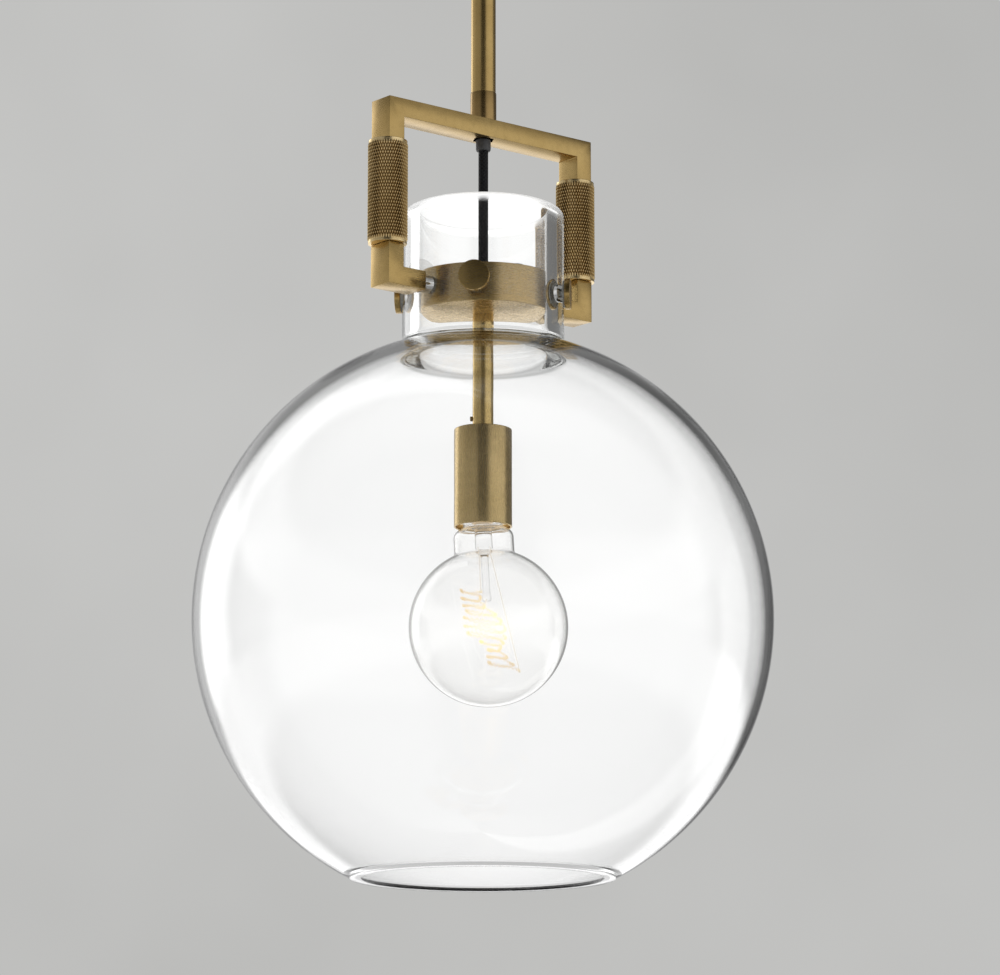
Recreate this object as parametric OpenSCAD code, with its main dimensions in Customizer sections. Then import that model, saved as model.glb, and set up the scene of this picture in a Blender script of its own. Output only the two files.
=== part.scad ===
// Pendant ceiling light: an open clear glass globe that hangs from a rectangular brass frame.
// The origin is the centre of the ceiling face, +Z is up, and the frame's bar lies along X.
// Every size is in millimetres.

/* [Ceiling] */
// Diameter of the ceiling canopy
canopy_d = 125; // [110:1:160]
// Depth of the canopy
canopy_h = 24; // [22:0.5:36]
// Thickness of the canopy's metal
canopy_wall = 1.5; // [1:0.1:2]
// Distance between the ceiling screws
ceiling_gap = 88.9; // [80:0.1:96]
// Diameter of the holes for the ceiling screws
ceiling_hole_d = 5.2; // [4:0.1:6]
// Distance between the canopy studs
stud_gap = 70; // [64:1:76]
// Diameter of a canopy stud
stud_d = 4.2; // [3:0.1:5]
// Width of the ceiling bracket
bracket_w = 22; // [18:1:28]
// Thickness of the ceiling bracket
bracket_t = 3; // [2:0.5:3.5]
// Diameter of the ball that lets the stem hang straight
ball_d = 26; // [24:0.5:28]

/* [Stem] */
// Distance from the ball's centre to the top of the frame
stem_drop = 188.5; // [120:0.5:900]
// Outer diameter of the stem
stem_d = 15.3; // [13:0.1:17]
// Thickness of the stem's wall
stem_wall = 1.6; // [1:0.1:2.5]
// Diameter of the coupler on the bar
coupler_d = 16.1; // [15.6:0.1:18]
// Height of the coupler
coupler_h = 18.2; // [14:0.2:30]
// Diameter of the cord
cord_d = 6; // [4.5:0.1:6.2]

/* [Frame] */
// Outer length of the frame
frame_l = 159.6; // [150:0.2:220]
// Outer height of the frame
frame_h = 116.5; // [105:0.5:180]
// Thickness of the frame's bar, seen from the front
bar_t = 11.5; // [10.5:0.1:14]
// Depth of the frame's bar, from front to back
bar_w = 18; // [14:0.5:20]
// Diameter of a knurled grip
grip_d = 24.5; // [24:0.1:30]
// Length of a knurled grip
grip_l = 64.4; // [40:0.2:70]
// Diameter of the frame's round tenons, inside the grips
tenon_d = 10; // [9:0.1:10.4]
// Diameter of the studs that join the tenons
joining_stud_d = 6; // [4:0.5:7]

/* [Hub] */
// Outer diameter of the brass hub inside the neck
hub_d = 76.6; // [72:0.2:76.8]
// Height of the hub
hub_h = 23.9; // [22:0.1:30]
// Height of the hub's top above the middle of the arms
hub_rise = 11.15; // [10.6:0.05:16]
// Thickness of the hub's side wall
hub_wall = 3; // [2:0.2:4]
// Thickness of the hub's floor
hub_floor = 4; // [3:0.2:4.4]
// Diameter of a flat disc screw's head
disc_d = 18.8; // [14:0.2:20]
// Thickness of a flat disc screw's head
disc_t = 3.4; // [2:0.2:6]
// Diameter of a disc screw's shank
disc_shank_d = 5; // [4:0.5:6]
// Thickness of the washer under a disc, at its middle
disc_washer_t = 0.8; // [0.6:0.1:2]
// Diameter of the clear pads between the arms and the neck
pad_d = 30; // [26:0.5:32]
// Thickness of a clear pad at its middle
pad_t = 1.8; // [1:0.1:3]
// Diameter of the bolts that hold the arms
arm_bolt_d = 6; // [5:0.5:6]

/* [Glass] */
// Outer diameter of the globe
globe_d = 350; // [300:1:420]
// Thickness of the globe's glass at its widest line
globe_wall = 4.5; // [4:0.5:8]
// How far the globe's hollow sits below its outside
inner_sink = 1.2; // [0:0.1:4]
// Depth of the bottom rim below the globe's centre
rim_drop = 155.8; // [120:0.2:158]
// Outer diameter of the neck
neck_d = 99.2; // [96:0.2:104]
// Diameter of the neck's bore
neck_bore_d = 79; // [77:0.2:82]
// Height of the neck's top above the globe's centre
neck_top = 253.9; // [248:0.1:270]
// Height of the arms above the globe's centre
arm_rise = 200.25; // [198:0.25:222]
// Diameter of the holes in the neck
neck_hole_d = 11; // [9:0.5:12]

/* [Lampholder] */
// Outer diameter of the socket rod
rod_d = 12.7; // [11:0.1:14]
// Bore of the socket rod
rod_bore_d = 6.8; // [6:0.1:7]
// Outer diameter of the socket cup
cup_d = 35.2; // [34.4:0.2:40]
// Height of the socket cup
cup_h = 60.8; // [58:0.2:80]
// Height of the socket cup's top above the globe's centre
cup_top = 117.7; // [100:0.2:140]
// Thickness of the socket cup's wall
cup_wall = 1.1; // [0.8:0.1:1.2]

/* [Bulb] */
// Diameter of the bulb's round part
bulb_d = 96; // [80:1:125]
// Distance from the bottom of the socket cup to the bulb's lowest point
bulb_drop = 109.6; // [98:0.1:150]
// Diameter of the bulb's neck
bulb_neck_d = 36.4; // [32:0.2:38]
// Thickness of the bulb's glass
bulb_wall = 0.9; // [0.7:0.1:1.2]
// Diameter of the bulb's screw cap
bulb_cap_d = 26.2; // [25:0.1:26.4]
// How far the bulb's glass leans from its cap, in degrees
bulb_lean = 3.1; // [0:0.1:3.2]
// Height of the filament from its highest to its lowest loop
filament_h = 50; // [30:1:54]

/* [Hidden] */
$fn = 96;

// Colours
BRASS = [0.70, 0.58, 0.36];
DARK = [0.12, 0.12, 0.13];
STEEL = [0.62, 0.63, 0.65];
CLEAR = [0.90, 0.95, 0.97, 0.35];
PORCELAIN = [0.93, 0.92, 0.88];

// Clearances
eps = 0.02;          // overlap that joins two pieces of one solid
running = 0.06;      // radial clearance of a turning fit
face_gap = 0.15;     // clearance between faces that turn past each other
free_gap = 0.4;      // clearance between pieces that don't touch
hole_gap = 0.1;      // radial clearance of a bolt in a plain hole

// Ceiling end
ball_r = ball_d / 2;
ball_z = -(canopy_h - 3.5);
seat_below = ball_r / 2;          // depth of the seat's open lip below the ball's centre
seat_above = 4.5;
seat_wall = 4;
seat_flange = 4;
seat_flange_t = 2;
seat_r = ball_r + seat_wall;
ball_bore_r = cord_d / 2 + 1;
stem_seat = 3;                    // depth of the stem's end below the ball's centre
nut_d = 12;
nut_h = 10;
nut_bore_h = 7;
bracket_l = ceiling_gap + 20;
bracket_bore_r = 5.5;
ground_x = 21;

// Stem and frame
bar_top = ball_z - stem_drop;
bar_bottom = bar_top - bar_t;
arm_z = bar_top - frame_h + bar_t / 2;
post_x = (frame_l - bar_t) / 2;
grip_z = bar_top - frame_h / 2;
grip_top = grip_z + grip_l / 2;
grip_bottom = grip_z - grip_l / 2;
tenon_r = tenon_d / 2;
stud_half = min(20, grip_l / 2 - 4);
coupler_seat = coupler_h - 8;     // depth of the stem's socket in the coupler
nipple_r = 4.2;
nipple_bore_r = cord_d / 2 + 0.25;
nipple_up = 7;
nipple_down = 4.5;
relief_d = 9.2;
relief_h = 7.2;
cord_top = ball_z + ball_r + 2;

// Hub
globe_z = arm_z - arm_rise;
hub_r = hub_d / 2;
hub_top = arm_z + hub_rise;
hub_bottom = hub_top - hub_h;
hub_inner_r = hub_r - hub_wall;
cover_t = 1.6;
cover_z = hub_top - cover_t;
cover_ledge = 1;
pillar_angle = 90;
pillar_r = 3.2;
pillar_x = hub_inner_r - pillar_r - 1;
neck_r = neck_d / 2;
bore_r = neck_bore_d / 2;
neck_wall = neck_r - bore_r;
sleeve_h = 17.3;
pad_face = neck_r + pad_t;
disc_face = neck_r + disc_washer_t;
bolt_head_d = 10;
bolt_head_t = 4;
bolt_reach = 12;                  // depth of an arm bolt in its arm
ARM_ANGLES = [0, 180];
DISC_ANGLES = [45, 135, 225, 315];

// Globe
globe_r = globe_d / 2;
hollow_r = globe_r - globe_wall;
shoulder_f = 7;
rim_outer = sqrt(globe_r * globe_r - rim_drop * rim_drop);
rim_inner = sqrt(hollow_r * hollow_r - pow(rim_drop - inner_sink, 2));
rim_edge = 0.9;                   // radius of the flat rim's two edges

// Lampholder
rod_r = rod_d / 2;
rod_bore_r = rod_bore_d / 2;
rod_thread_r = 5;
rod_nut_af = 14;
rod_nut_t = 4;
rod_top = hub_bottom + hub_floor + rod_nut_t + 1;
cord_end = rod_top + 2.4;
cup_r = cup_d / 2;
cup_z = globe_z + cup_top;
cup_bottom = cup_z - cup_h;
cup_roof = 2;
rod_in_cup = 7;
set_screw_r = 1.5;
set_screw_proud = 1.5;             // height of the screw's head above the rod
set_screw_z = cup_z + 7;
set_screw_angle = 135;
spot_x = rod_r - 0.5;                // flat seat of the set screw's head
shell_r = bulb_cap_d / 2 + 0.2;
shell_t = 0.4;
shell_h = 27;
shell_bottom = cup_bottom + 5;
socket_body_r = cup_r - cup_wall - 0.1;
socket_roof_z = shell_bottom + shell_h + 1.5;
socket_body_top = socket_roof_z + 8;
wire_r = 1.1;
wire_x = 1.7;
terminal_x = 10;

// Bulb
bulb_r = bulb_d / 2;
bulb_z = cup_bottom - bulb_drop + bulb_r;
bulb_neck_r = bulb_neck_d / 2;
bulb_cap_r = bulb_cap_d / 2;
bulb_shoulder_z = cup_bottom - 1.2;
bulb_cap_t = 0.5;
bulb_cap_bottom = cup_bottom + 2;
bulb_cap_top = shell_bottom + shell_h - 6;
insulator_h = 3;
contact_h = 1.6;
neck_f = 3;
filament_t = 0.4;
filament_top = bulb_z + filament_h / 2 - 1;
filament_loops = 11;
filament_slant = 0.3;             // how far a loop falls for each millimetre towards the lean
lean_angle = -39;                 // direction in which the bulb and its filament lean, about the axis
lean_gap = 0.5;                   // room for the lean between the bulb's glass and its cap
// Along the filament, from its top (0) to its bottom (1): how far its loops sit off the axis, and their radius
FILAMENT_LEAN = [[0, -9.6], [0.16, -9.2], [0.3, -3], [0.6, -1.5], [0.72, 2.5], [1, 8]];
FILAMENT_RADIUS = [[0, 6.2], [0.16, 5.8], [0.42, 12.5], [0.6, 11], [0.74, 3.5], [1, 9.5]];
mount_r = 5.2;
mount_stem_r = 2.2;
mount_bead_r = 2.8;
mount_end = bulb_z + 16;
mount_pinch = bulb_z + 46;
lead_x = 3;
lead_r = 0.3;
hook_r = 0.2;

// A cylinder that points away from the axis, from radius a to radius b, at the arms' level.
module radial(angle, a, b, r, z = arm_z) {
    translate([0, 0, z]) rotate([0, 0, angle]) translate([a, 0, 0]) rotate([0, 90, 0])
        cylinder(h = b - a, r = r);
}

// A tube that stands on z, with its outer radius and its bore.
module tube(z, h, r, bore) {
    translate([0, 0, z]) difference() {
        cylinder(h = h, r = r);
        translate([0, 0, -1]) cylinder(h = h + 2, r = bore);
    }
}

// A disc with a chamfer of c on its top edge.
module chamfered(r, h, c) {
    rotate_extrude() polygon([[0, 0], [r, 0], [r, h - c], [r - c, h], [0, h]]);
}

module ceiling_bracket() {
    color(STEEL) translate([0, 0, -bracket_t]) difference() {
        linear_extrude(bracket_t) difference() {
            union() {
                square([bracket_l - bracket_w, bracket_w], center = true);
                for (s = [-1, 1]) translate([s * (bracket_l - bracket_w) / 2, 0]) circle(d = bracket_w);
            }
            circle(r = bracket_bore_r);
            for (s = [-1, 1]) {
                translate([s * ceiling_gap / 2, 0]) circle(d = ceiling_hole_d);
                translate([s * stud_gap / 2, 0]) circle(d = stud_d);
            }
            translate([ground_x, 0]) circle(d = 4);
        }
    }
}

module ground_screw() {
    color([0.25, 0.55, 0.30]) translate([ground_x, 0, -bracket_t]) {
        translate([0, 0, -2.6]) difference() {
            cylinder(h = 2.6, d = 8);
            translate([-5, -0.5, -1]) cube([10, 1, 2]);
        }
        translate([0, 0, -eps]) cylinder(h = bracket_t + eps, d = 4);
    }
}

module canopy_studs() {
    color(STEEL) for (s = [-1, 1])
        translate([s * stud_gap / 2, 0, -canopy_h - nut_bore_h + 1])
            cylinder(h = canopy_h + nut_bore_h - 1, d = stud_d);
}

// Two wire connectors that lie in the canopy, each with a short tail of supply wire.
module wire_connectors() {
    color([0.85, 0.45, 0.15]) for (s = [-1, 1])
        translate([s * 9, 28, -12]) rotate([-90, 0, 0]) {
            cylinder(h = 16, r1 = 5.5, r2 = 3.5);
            translate([0, 0, -7]) cylinder(h = 7 + eps, r = 1.6);
        }
}

module canopy() {
    edge = 5;
    r = canopy_d / 2;
    color(BRASS) difference() {
        rotate_extrude() difference() {
            union() {
                translate([0, -canopy_h]) square([r - edge, canopy_h]);
                translate([0, -canopy_h + edge]) square([r, canopy_h - edge]);
                translate([r - edge, -canopy_h + edge]) circle(r = edge);
            }
            translate([0, -canopy_h + canopy_wall]) square([r - edge, canopy_h]);
            translate([0, -canopy_h + edge]) square([r - canopy_wall, canopy_h]);
            translate([r - edge, -canopy_h + edge]) circle(r = edge - canopy_wall);
            translate([-r, -canopy_h - 1]) square([r, canopy_h + 2]);
        }
        translate([0, 0, -canopy_h - 1]) cylinder(h = canopy_h, r = seat_r + running);
        for (s = [-1, 1])
            translate([s * stud_gap / 2, 0, -canopy_h - 1]) cylinder(h = canopy_h, r = stud_d / 2 + 0.3);
    }
}

// A round knurled nut that holds the canopy up on one stud.
module cap_nut(side) {
    color(BRASS) translate([side * stud_gap / 2, 0, -canopy_h - face_gap]) rotate([180, 0, 0]) difference() {
        chamfered(nut_d / 2, nut_h, 0.8);
        translate([0, 0, -1]) cylinder(h = nut_bore_h + 1, r = stud_d / 2 + running);
    }
}

// The seat turns in the canopy's centre hole and holds the ball from below.
module swivel_seat() {
    bottom = ball_z - seat_below;
    flange_z = -canopy_h + canopy_wall + face_gap;
    color(BRASS) difference() {
        union() {
            translate([0, 0, bottom]) cylinder(h = seat_below + seat_above, r = seat_r);
            translate([0, 0, flange_z]) cylinder(h = seat_flange_t, r = seat_r + seat_flange);
        }
        translate([0, 0, ball_z]) sphere(r = ball_r + running);
        translate([0, 0, ball_z]) cylinder(h = canopy_h, r = ball_r + running);
    }
}

module swivel_ball() {
    color(BRASS) difference() {
        translate([0, 0, ball_z]) sphere(r = ball_r);
        translate([0, 0, ball_z - ball_r - 1]) cylinder(h = ball_d + 2, r = ball_bore_r);
        translate([0, 0, ball_z - ball_r - 1]) cylinder(h = ball_r + 1 - stem_seat, d = stem_d);
    }
}

module stem_tube() {
    bottom = bar_top + coupler_h - coupler_seat;
    color(BRASS) tube(bottom, ball_z - stem_seat - bottom, stem_d / 2, stem_d / 2 - stem_wall);
}

module stem_coupler() {
    color(BRASS) translate([0, 0, bar_top]) difference() {
        chamfered(coupler_d / 2, coupler_h, 0.3);
        translate([0, 0, -1]) cylinder(h = coupler_h, r = nipple_r);
        translate([0, 0, coupler_h - coupler_seat]) cylinder(h = coupler_h, d = stem_d);
    }
}

module stem_nipple() {
    color(STEEL) tube(bar_bottom - nipple_down, nipple_up + bar_t + nipple_down, nipple_r, nipple_bore_r);
}

// A thin locknut on the nipple, sunk in the bar's underside.
module nipple_nut() {
    color(STEEL) translate([0, 0, bar_bottom]) difference() {
        cylinder(h = 2.5, d = 13.8, $fn = 6);
        translate([0, 0, -1]) cylinder(h = 5, r = nipple_r);
    }
}

// One round tenon, from a square leg's end to the middle of the grip.
module tenon(x, up) {
    length = grip_l / 2 + face_gap / 2 + eps;
    translate([x, 0, grip_z + (up ? face_gap / 2 : -face_gap / 2 - length)]) cylinder(h = length, r = tenon_r);
}

module stud_holes(x) {
    translate([x, 0, grip_z - stud_half]) cylinder(h = stud_half * 2, d = joining_stud_d);
}

module top_bar() {
    leg = bar_top - grip_top - face_gap;
    color(BRASS) difference() {
        union() {
            translate([-frame_l / 2, -bar_w / 2, bar_bottom]) cube([frame_l, bar_w, bar_t]);
            for (s = [-1, 1]) {
                translate([s * post_x - bar_t / 2, -bar_w / 2, bar_top - leg]) cube([bar_t, bar_w, leg]);
                tenon(s * post_x, true);
            }
        }
        for (s = [-1, 1]) stud_holes(s * post_x);
        translate([0, 0, bar_bottom - 1]) cylinder(h = bar_t + 2, r = nipple_r + hole_gap);
        translate([0, 0, bar_bottom - 1]) cylinder(h = 3.5 + hole_gap, r = 7.2);
    }
}

module strain_relief() {
    color(DARK) translate([0, 0, bar_bottom - relief_h]) difference() {
        cylinder(h = relief_h, d = relief_d);
        translate([0, 0, -1]) cylinder(h = relief_h + 2, r = cord_d / 2);
        translate([0, 0, relief_h - nipple_down]) cylinder(h = relief_h, r = nipple_r);
    }
}

module cord() {
    color(DARK) translate([0, 0, cord_end]) cylinder(h = cord_top - cord_end, d = cord_d);
}

// A knurled sleeve that turns on the tenons; its two plain ends are narrower than the knurl.
module grip(side) {
    lip = 1.2;
    color([0.55, 0.42, 0.22]) translate([side * post_x, 0, grip_bottom]) difference() {
        union() {
            cylinder(h = grip_l, r = grip_d / 2 - 0.5);
            translate([0, 0, lip]) cylinder(h = grip_l - 2 * lip, r = grip_d / 2);
        }
        translate([0, 0, -1]) cylinder(h = grip_l + 2, r = tenon_r + running);
    }
}

module joining_studs() {
    color(STEEL) for (s = [-1, 1])
        translate([s * post_x, 0, grip_z - stud_half]) cylinder(h = stud_half * 2, d = joining_stud_d);
}

// An L-shaped arm: a short leg under the grip and a bar that points at the neck.
module arm(side) {
    top = grip_bottom - face_gap;
    bottom = arm_z - bar_t / 2;
    reach = frame_l / 2 - pad_face;
    color(BRASS) difference() {
        union() {
            translate([side * post_x - bar_t / 2, -bar_w / 2, bottom]) cube([bar_t, bar_w, top - bottom]);
            translate([side > 0 ? pad_face : -frame_l / 2, -bar_w / 2, bottom]) cube([reach, bar_w, bar_t]);
            tenon(side * post_x, false);
        }
        stud_holes(side * post_x);
        radial(side > 0 ? 0 : 180, pad_face - 1, pad_face + bolt_reach, arm_bolt_d / 2);
    }
}

// The hub is a round cup with a flat floor; every screw in the neck ends in its wall.
module hub_cup() {
    c = 0.5;
    color(BRASS) difference() {
        translate([0, 0, hub_bottom]) rotate_extrude() polygon([[0, 0], [hub_r - c, 0], [hub_r, c],
            [hub_r, hub_h], [hub_inner_r, hub_h], [hub_inner_r, hub_floor], [0, hub_floor]]);
        translate([0, 0, hub_bottom - 1]) cylinder(h = hub_floor + 2, r = rod_thread_r);
        translate([0, 0, cover_z]) cylinder(h = cover_t + 1, r = hub_inner_r + cover_ledge);
        for (a = ARM_ANGLES) {
            radial(a, hub_inner_r - 1, hub_r + 1, arm_bolt_d / 2 + hole_gap);
            radial(a, hub_inner_r - bolt_head_t, hub_inner_r, bolt_head_d / 2 + 0.3);
        }
        for (a = DISC_ANGLES) radial(a, hub_inner_r - 1, hub_r + 1, disc_shank_d / 2);
    }
}

module hub_cover() {
    color(BRASS) difference() {
        translate([0, 0, cover_z]) cylinder(h = cover_t, r = hub_inner_r + cover_ledge - 0.05);
        translate([0, 0, cover_z - 1]) cylinder(h = cover_t + 2, r = cord_d / 2 + 1.2);
        for (s = [-1, 1]) rotate([0, 0, s * pillar_angle]) translate([pillar_x, 0, cover_z - 1])
            cylinder(h = cover_t + 2, r = 1.6);
    }
}

module cover_pillars() {
    h = cover_z - hub_bottom - hub_floor;
    color(BRASS) for (s = [-1, 1]) rotate([0, 0, s * pillar_angle])
        translate([pillar_x, 0, hub_bottom + hub_floor]) difference() {
            cylinder(h = h, r = pillar_r);
            translate([0, 0, h - 6]) cylinder(h = 7, r = 1.5);
        }
}

module cover_screws() {
    color(STEEL) for (s = [-1, 1]) rotate([0, 0, s * pillar_angle]) translate([pillar_x, 0, hub_top]) {
        translate([0, 0, -cover_t - 6]) cylinder(h = cover_t + 6 + eps, r = 1.5);
        difference() {
            cylinder(h = 1.8, r = 2.8);
            translate([-3, -0.4, 0.9]) cube([6, 0.8, 2]);
        }
    }
}

// A soft bush that guards the cord where it enters the hub.
module cord_bush() {
    r = cord_d / 2;
    color(DARK) translate([0, 0, hub_top]) difference() {
        union() {
            translate([0, 0, -cover_t]) cylinder(h = cover_t + eps, r = r + 1.2);
            chamfered(r + 2.6, 2, 0.6);
        }
        translate([0, 0, -cover_t - 1]) cylinder(h = cover_t + 4, r = r);
    }
}

// A clear sleeve that keeps the hub off the glass.
module hub_sleeve() {
    color(CLEAR) difference() {
        tube(arm_z - sleeve_h / 2, sleeve_h, bore_r, hub_r);
        for (a = ARM_ANGLES) radial(a, hub_r - 1, bore_r + 1, arm_bolt_d / 2 + hole_gap);
        for (a = DISC_ANGLES) radial(a, hub_r - 1, bore_r + 1, disc_shank_d / 2 + hole_gap);
    }
}

module arm_bolts() {
    color(STEEL) for (a = ARM_ANGLES) difference() {
        union() {
            radial(a, hub_inner_r - bolt_head_t, hub_inner_r, bolt_head_d / 2);
            radial(a, hub_inner_r - eps, pad_face + bolt_reach, arm_bolt_d / 2);
        }
        translate([0, 0, arm_z]) rotate([0, 0, a]) translate([hub_inner_r - bolt_head_t - 1, 0, 0])
            rotate([0, 90, 0]) cylinder(h = 3.4, d = 5, $fn = 6);
    }
}

module arm_pads() {
    color(CLEAR) for (a = ARM_ANGLES) difference() {
        radial(a, neck_r - 4, pad_face, pad_d / 2);
        translate([0, 0, arm_z - pad_d]) cylinder(h = pad_d * 2, r = neck_r, $fn = 720);
        radial(a, bore_r - 1, pad_face + 1, arm_bolt_d / 2 + hole_gap);
    }
}

module glass_bushes() {
    color([0.93, 0.93, 0.90]) intersection() {
        union() {
            for (a = ARM_ANGLES) difference() {
                radial(a, bore_r - 3, neck_r + 3, neck_hole_d / 2);
                radial(a, bore_r - 4, neck_r + 4, arm_bolt_d / 2 + hole_gap);
            }
            for (a = DISC_ANGLES) difference() {
                radial(a, bore_r - 3, neck_r + 3, neck_hole_d / 2);
                radial(a, bore_r - 4, neck_r + 4, disc_shank_d / 2 + hole_gap);
            }
        }
        tube(arm_z - neck_hole_d, neck_hole_d * 2, neck_r, bore_r);
    }
}

module disc_screws() {
    color(BRASS) for (a = DISC_ANGLES) {
        translate([0, 0, arm_z]) rotate([0, 0, a]) translate([disc_face, 0, 0]) rotate([0, 90, 0])
            chamfered(disc_d / 2, disc_t, 0.4);
        radial(a, hub_inner_r - 1, disc_face + eps, disc_shank_d / 2);
    }
}

module disc_washers() {
    color([0.88, 0.88, 0.84]) for (a = DISC_ANGLES) difference() {
        radial(a, neck_r - 4, disc_face, disc_d / 2 - 1);
        translate([0, 0, arm_z - disc_d]) cylinder(h = disc_d * 2, r = neck_r, $fn = 720);
        radial(a, bore_r - 1, disc_face + 1, disc_shank_d / 2 + hole_gap);
    }
}

// Fills the corner between a neck of radius neck and a ball of radius r with a fillet of radius f.
module neck_fillet(neck, r, f) {
    x = neck + f;
    z = sqrt(pow(r + f, 2) - x * x);
    sweep = atan2(z, x);
    steps = 16;
    arc = [for (i = [0 : steps]) let (a = 180 + sweep * i / steps) [x + f * cos(a), z + f * sin(a)]];
    foot = (r - 0.3) / (r + f);
    polygon(concat([[neck - 2, z]], arc, [[x * foot, z * foot], [neck - 2, z * foot - 2]]));
}

// The glass in section: a thick round wall, a neck with a round lip and a flat bottom rim.
module globe_profile() {
    difference() {
        union() {
            circle(r = globe_r, $fn = 360);
            square([neck_r, neck_top - neck_wall / 2]);
        }
        translate([0, -inner_sink]) circle(r = hollow_r, $fn = 360);
        square([bore_r, neck_top + 1]);
        translate([-globe_r - 1, -globe_r - 1]) square([globe_r * 2 + 2, globe_r + 1 - rim_drop]);
        translate([-globe_r - 1, -globe_r - 1]) square([globe_r + 1, globe_r * 3]);
    }
    for (r = [rim_inner + rim_edge, rim_outer - rim_edge]) translate([r, -rim_drop]) circle(r = rim_edge);
    translate([rim_inner + rim_edge, -rim_drop - rim_edge])
        square([rim_outer - rim_inner - 2 * rim_edge, rim_edge + 0.5]);
    translate([neck_r - neck_wall / 2, neck_top - neck_wall / 2]) circle(r = neck_wall / 2);
}

module glass_globe() {
    color(CLEAR) difference() {
        translate([0, 0, globe_z]) {
            rotate_extrude($fn = 180) globe_profile();
            rotate_extrude($fn = 180) neck_fillet(neck_r, globe_r, shoulder_f);
        }
        for (a = concat(ARM_ANGLES, DISC_ANGLES)) radial(a, bore_r - 5, neck_r + 5, neck_hole_d / 2);
    }
}

module socket_rod() {
    color(BRASS) difference() {
        union() {
            translate([0, 0, cup_z - rod_in_cup]) cylinder(h = hub_bottom - cup_z + rod_in_cup, r = rod_r);
            translate([0, 0, hub_bottom - eps]) cylinder(h = rod_top - hub_bottom + eps, r = rod_thread_r);
        }
        translate([0, 0, cup_z - rod_in_cup - 1])
            cylinder(h = rod_top - cup_z + rod_in_cup + 2, r = rod_bore_r);
        radial(set_screw_angle, 0, rod_r + 1, set_screw_r - 0.4, set_screw_z);
        radial(set_screw_angle, spot_x, rod_r + 1, set_screw_r + hole_gap, set_screw_z);
    }
}

module rod_nut() {
    color(STEEL) translate([0, 0, hub_bottom + hub_floor]) difference() {
        cylinder(h = rod_nut_t, d = rod_nut_af / cos(30), $fn = 6);
        translate([0, 0, -1]) cylinder(h = rod_nut_t + 2, r = rod_thread_r);
    }
}

module rod_set_screw() {
    color(BRASS) {
        radial(set_screw_angle, rod_bore_r, spot_x + eps, set_screw_r - 0.4, set_screw_z);
        radial(set_screw_angle, spot_x, rod_r + set_screw_proud, set_screw_r, set_screw_z);
    }
}

module socket_cup() {
    c = 0.4;
    color(BRASS) translate([0, 0, cup_bottom]) difference() {
        rotate_extrude() difference() {
            polygon([[0, 0], [cup_r - c, 0], [cup_r, c], [cup_r, cup_h - c], [cup_r - c, cup_h], [0, cup_h]]);
            translate([0, -1]) square([cup_r - cup_wall, cup_h - cup_roof + 1]);
        }
        translate([0, 0, cup_h - cup_roof - 1]) cylinder(h = cup_roof + 2, r = rod_r);
    }
}

module socket_body() {
    bottom = shell_bottom - 1.5;
    color(PORCELAIN) difference() {
        translate([0, 0, bottom]) cylinder(h = socket_body_top - bottom, r = socket_body_r);
        translate([0, 0, bottom - 1]) cylinder(h = socket_roof_z - bottom + 1, r = shell_r + shell_t);
        for (s = [-1, 1]) translate([s * terminal_x, 0, socket_body_top - 6]) cylinder(h = 7, r = 2);
    }
}

module socket_shell() {
    color(BRASS) tube(shell_bottom, shell_h + 1.5, shell_r + shell_t, shell_r);
}

// The spring tongue that presses on the bulb's contact.
module socket_contact() {
    reach = 11;
    top = socket_roof_z;
    tip = bulb_cap_top + insulator_h + contact_h + free_gap;
    color(BRASS) {
        translate([-reach, -2.5, top - 0.8]) cube([reach + 4, 5, 0.8]);
        translate([0, 0, tip]) cylinder(h = top - 0.8 - tip + eps, r = 2.5);
    }
}

module terminal_screws() {
    color(BRASS) for (s = [-1, 1]) translate([s * terminal_x, 0, socket_body_top]) {
        translate([0, 0, -6]) cylinder(h = 6 + eps, r = 2);
        difference() {
            cylinder(h = 2.4, r = 3.5);
            translate([-4, -0.5, 1.4]) cube([8, 1, 2]);
        }
    }
}

// Two cores that run from the cord's end through the rod to the terminal screws.
module lead_wires() {
    bend_z = socket_body_top + 5.2;
    color([0.75, 0.25, 0.15]) for (s = [-1, 1]) {
        translate([s * wire_x, 0, bend_z]) cylinder(h = cord_end - bend_z, r = wire_r);
        translate([s * wire_x, 0, bend_z]) sphere(r = wire_r);
        translate([s * wire_x, 0, bend_z]) rotate([0, s * 90, 0]) cylinder(h = terminal_x - wire_x, r = wire_r);
        translate([s * terminal_x, 0, bend_z]) sphere(r = wire_r);
        translate([s * terminal_x, 0, socket_body_top + 2.4])
            cylinder(h = bend_z - socket_body_top - 2.4, r = wire_r);
    }
}

module bulb_cap() {
    color([0.72, 0.68, 0.58]) translate([0, 0, bulb_cap_bottom]) difference() {
        cylinder(h = bulb_cap_top - bulb_cap_bottom, r = bulb_cap_r);
        translate([0, 0, -1]) cylinder(h = bulb_cap_top - bulb_cap_bottom + 2, r = bulb_cap_r - bulb_cap_t);
    }
}

module cap_insulator() {
    color(DARK) translate([0, 0, bulb_cap_top]) rotate_extrude() polygon([[0, 0], [bulb_cap_r, 0],
        [bulb_cap_r - 0.6, 0.6], [5.5, insulator_h], [0, insulator_h]]);
}

module bulb_contact() {
    color(STEEL) translate([0, 0, bulb_cap_top + insulator_h]) chamfered(4.6, contact_h, 0.8);
}

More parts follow.
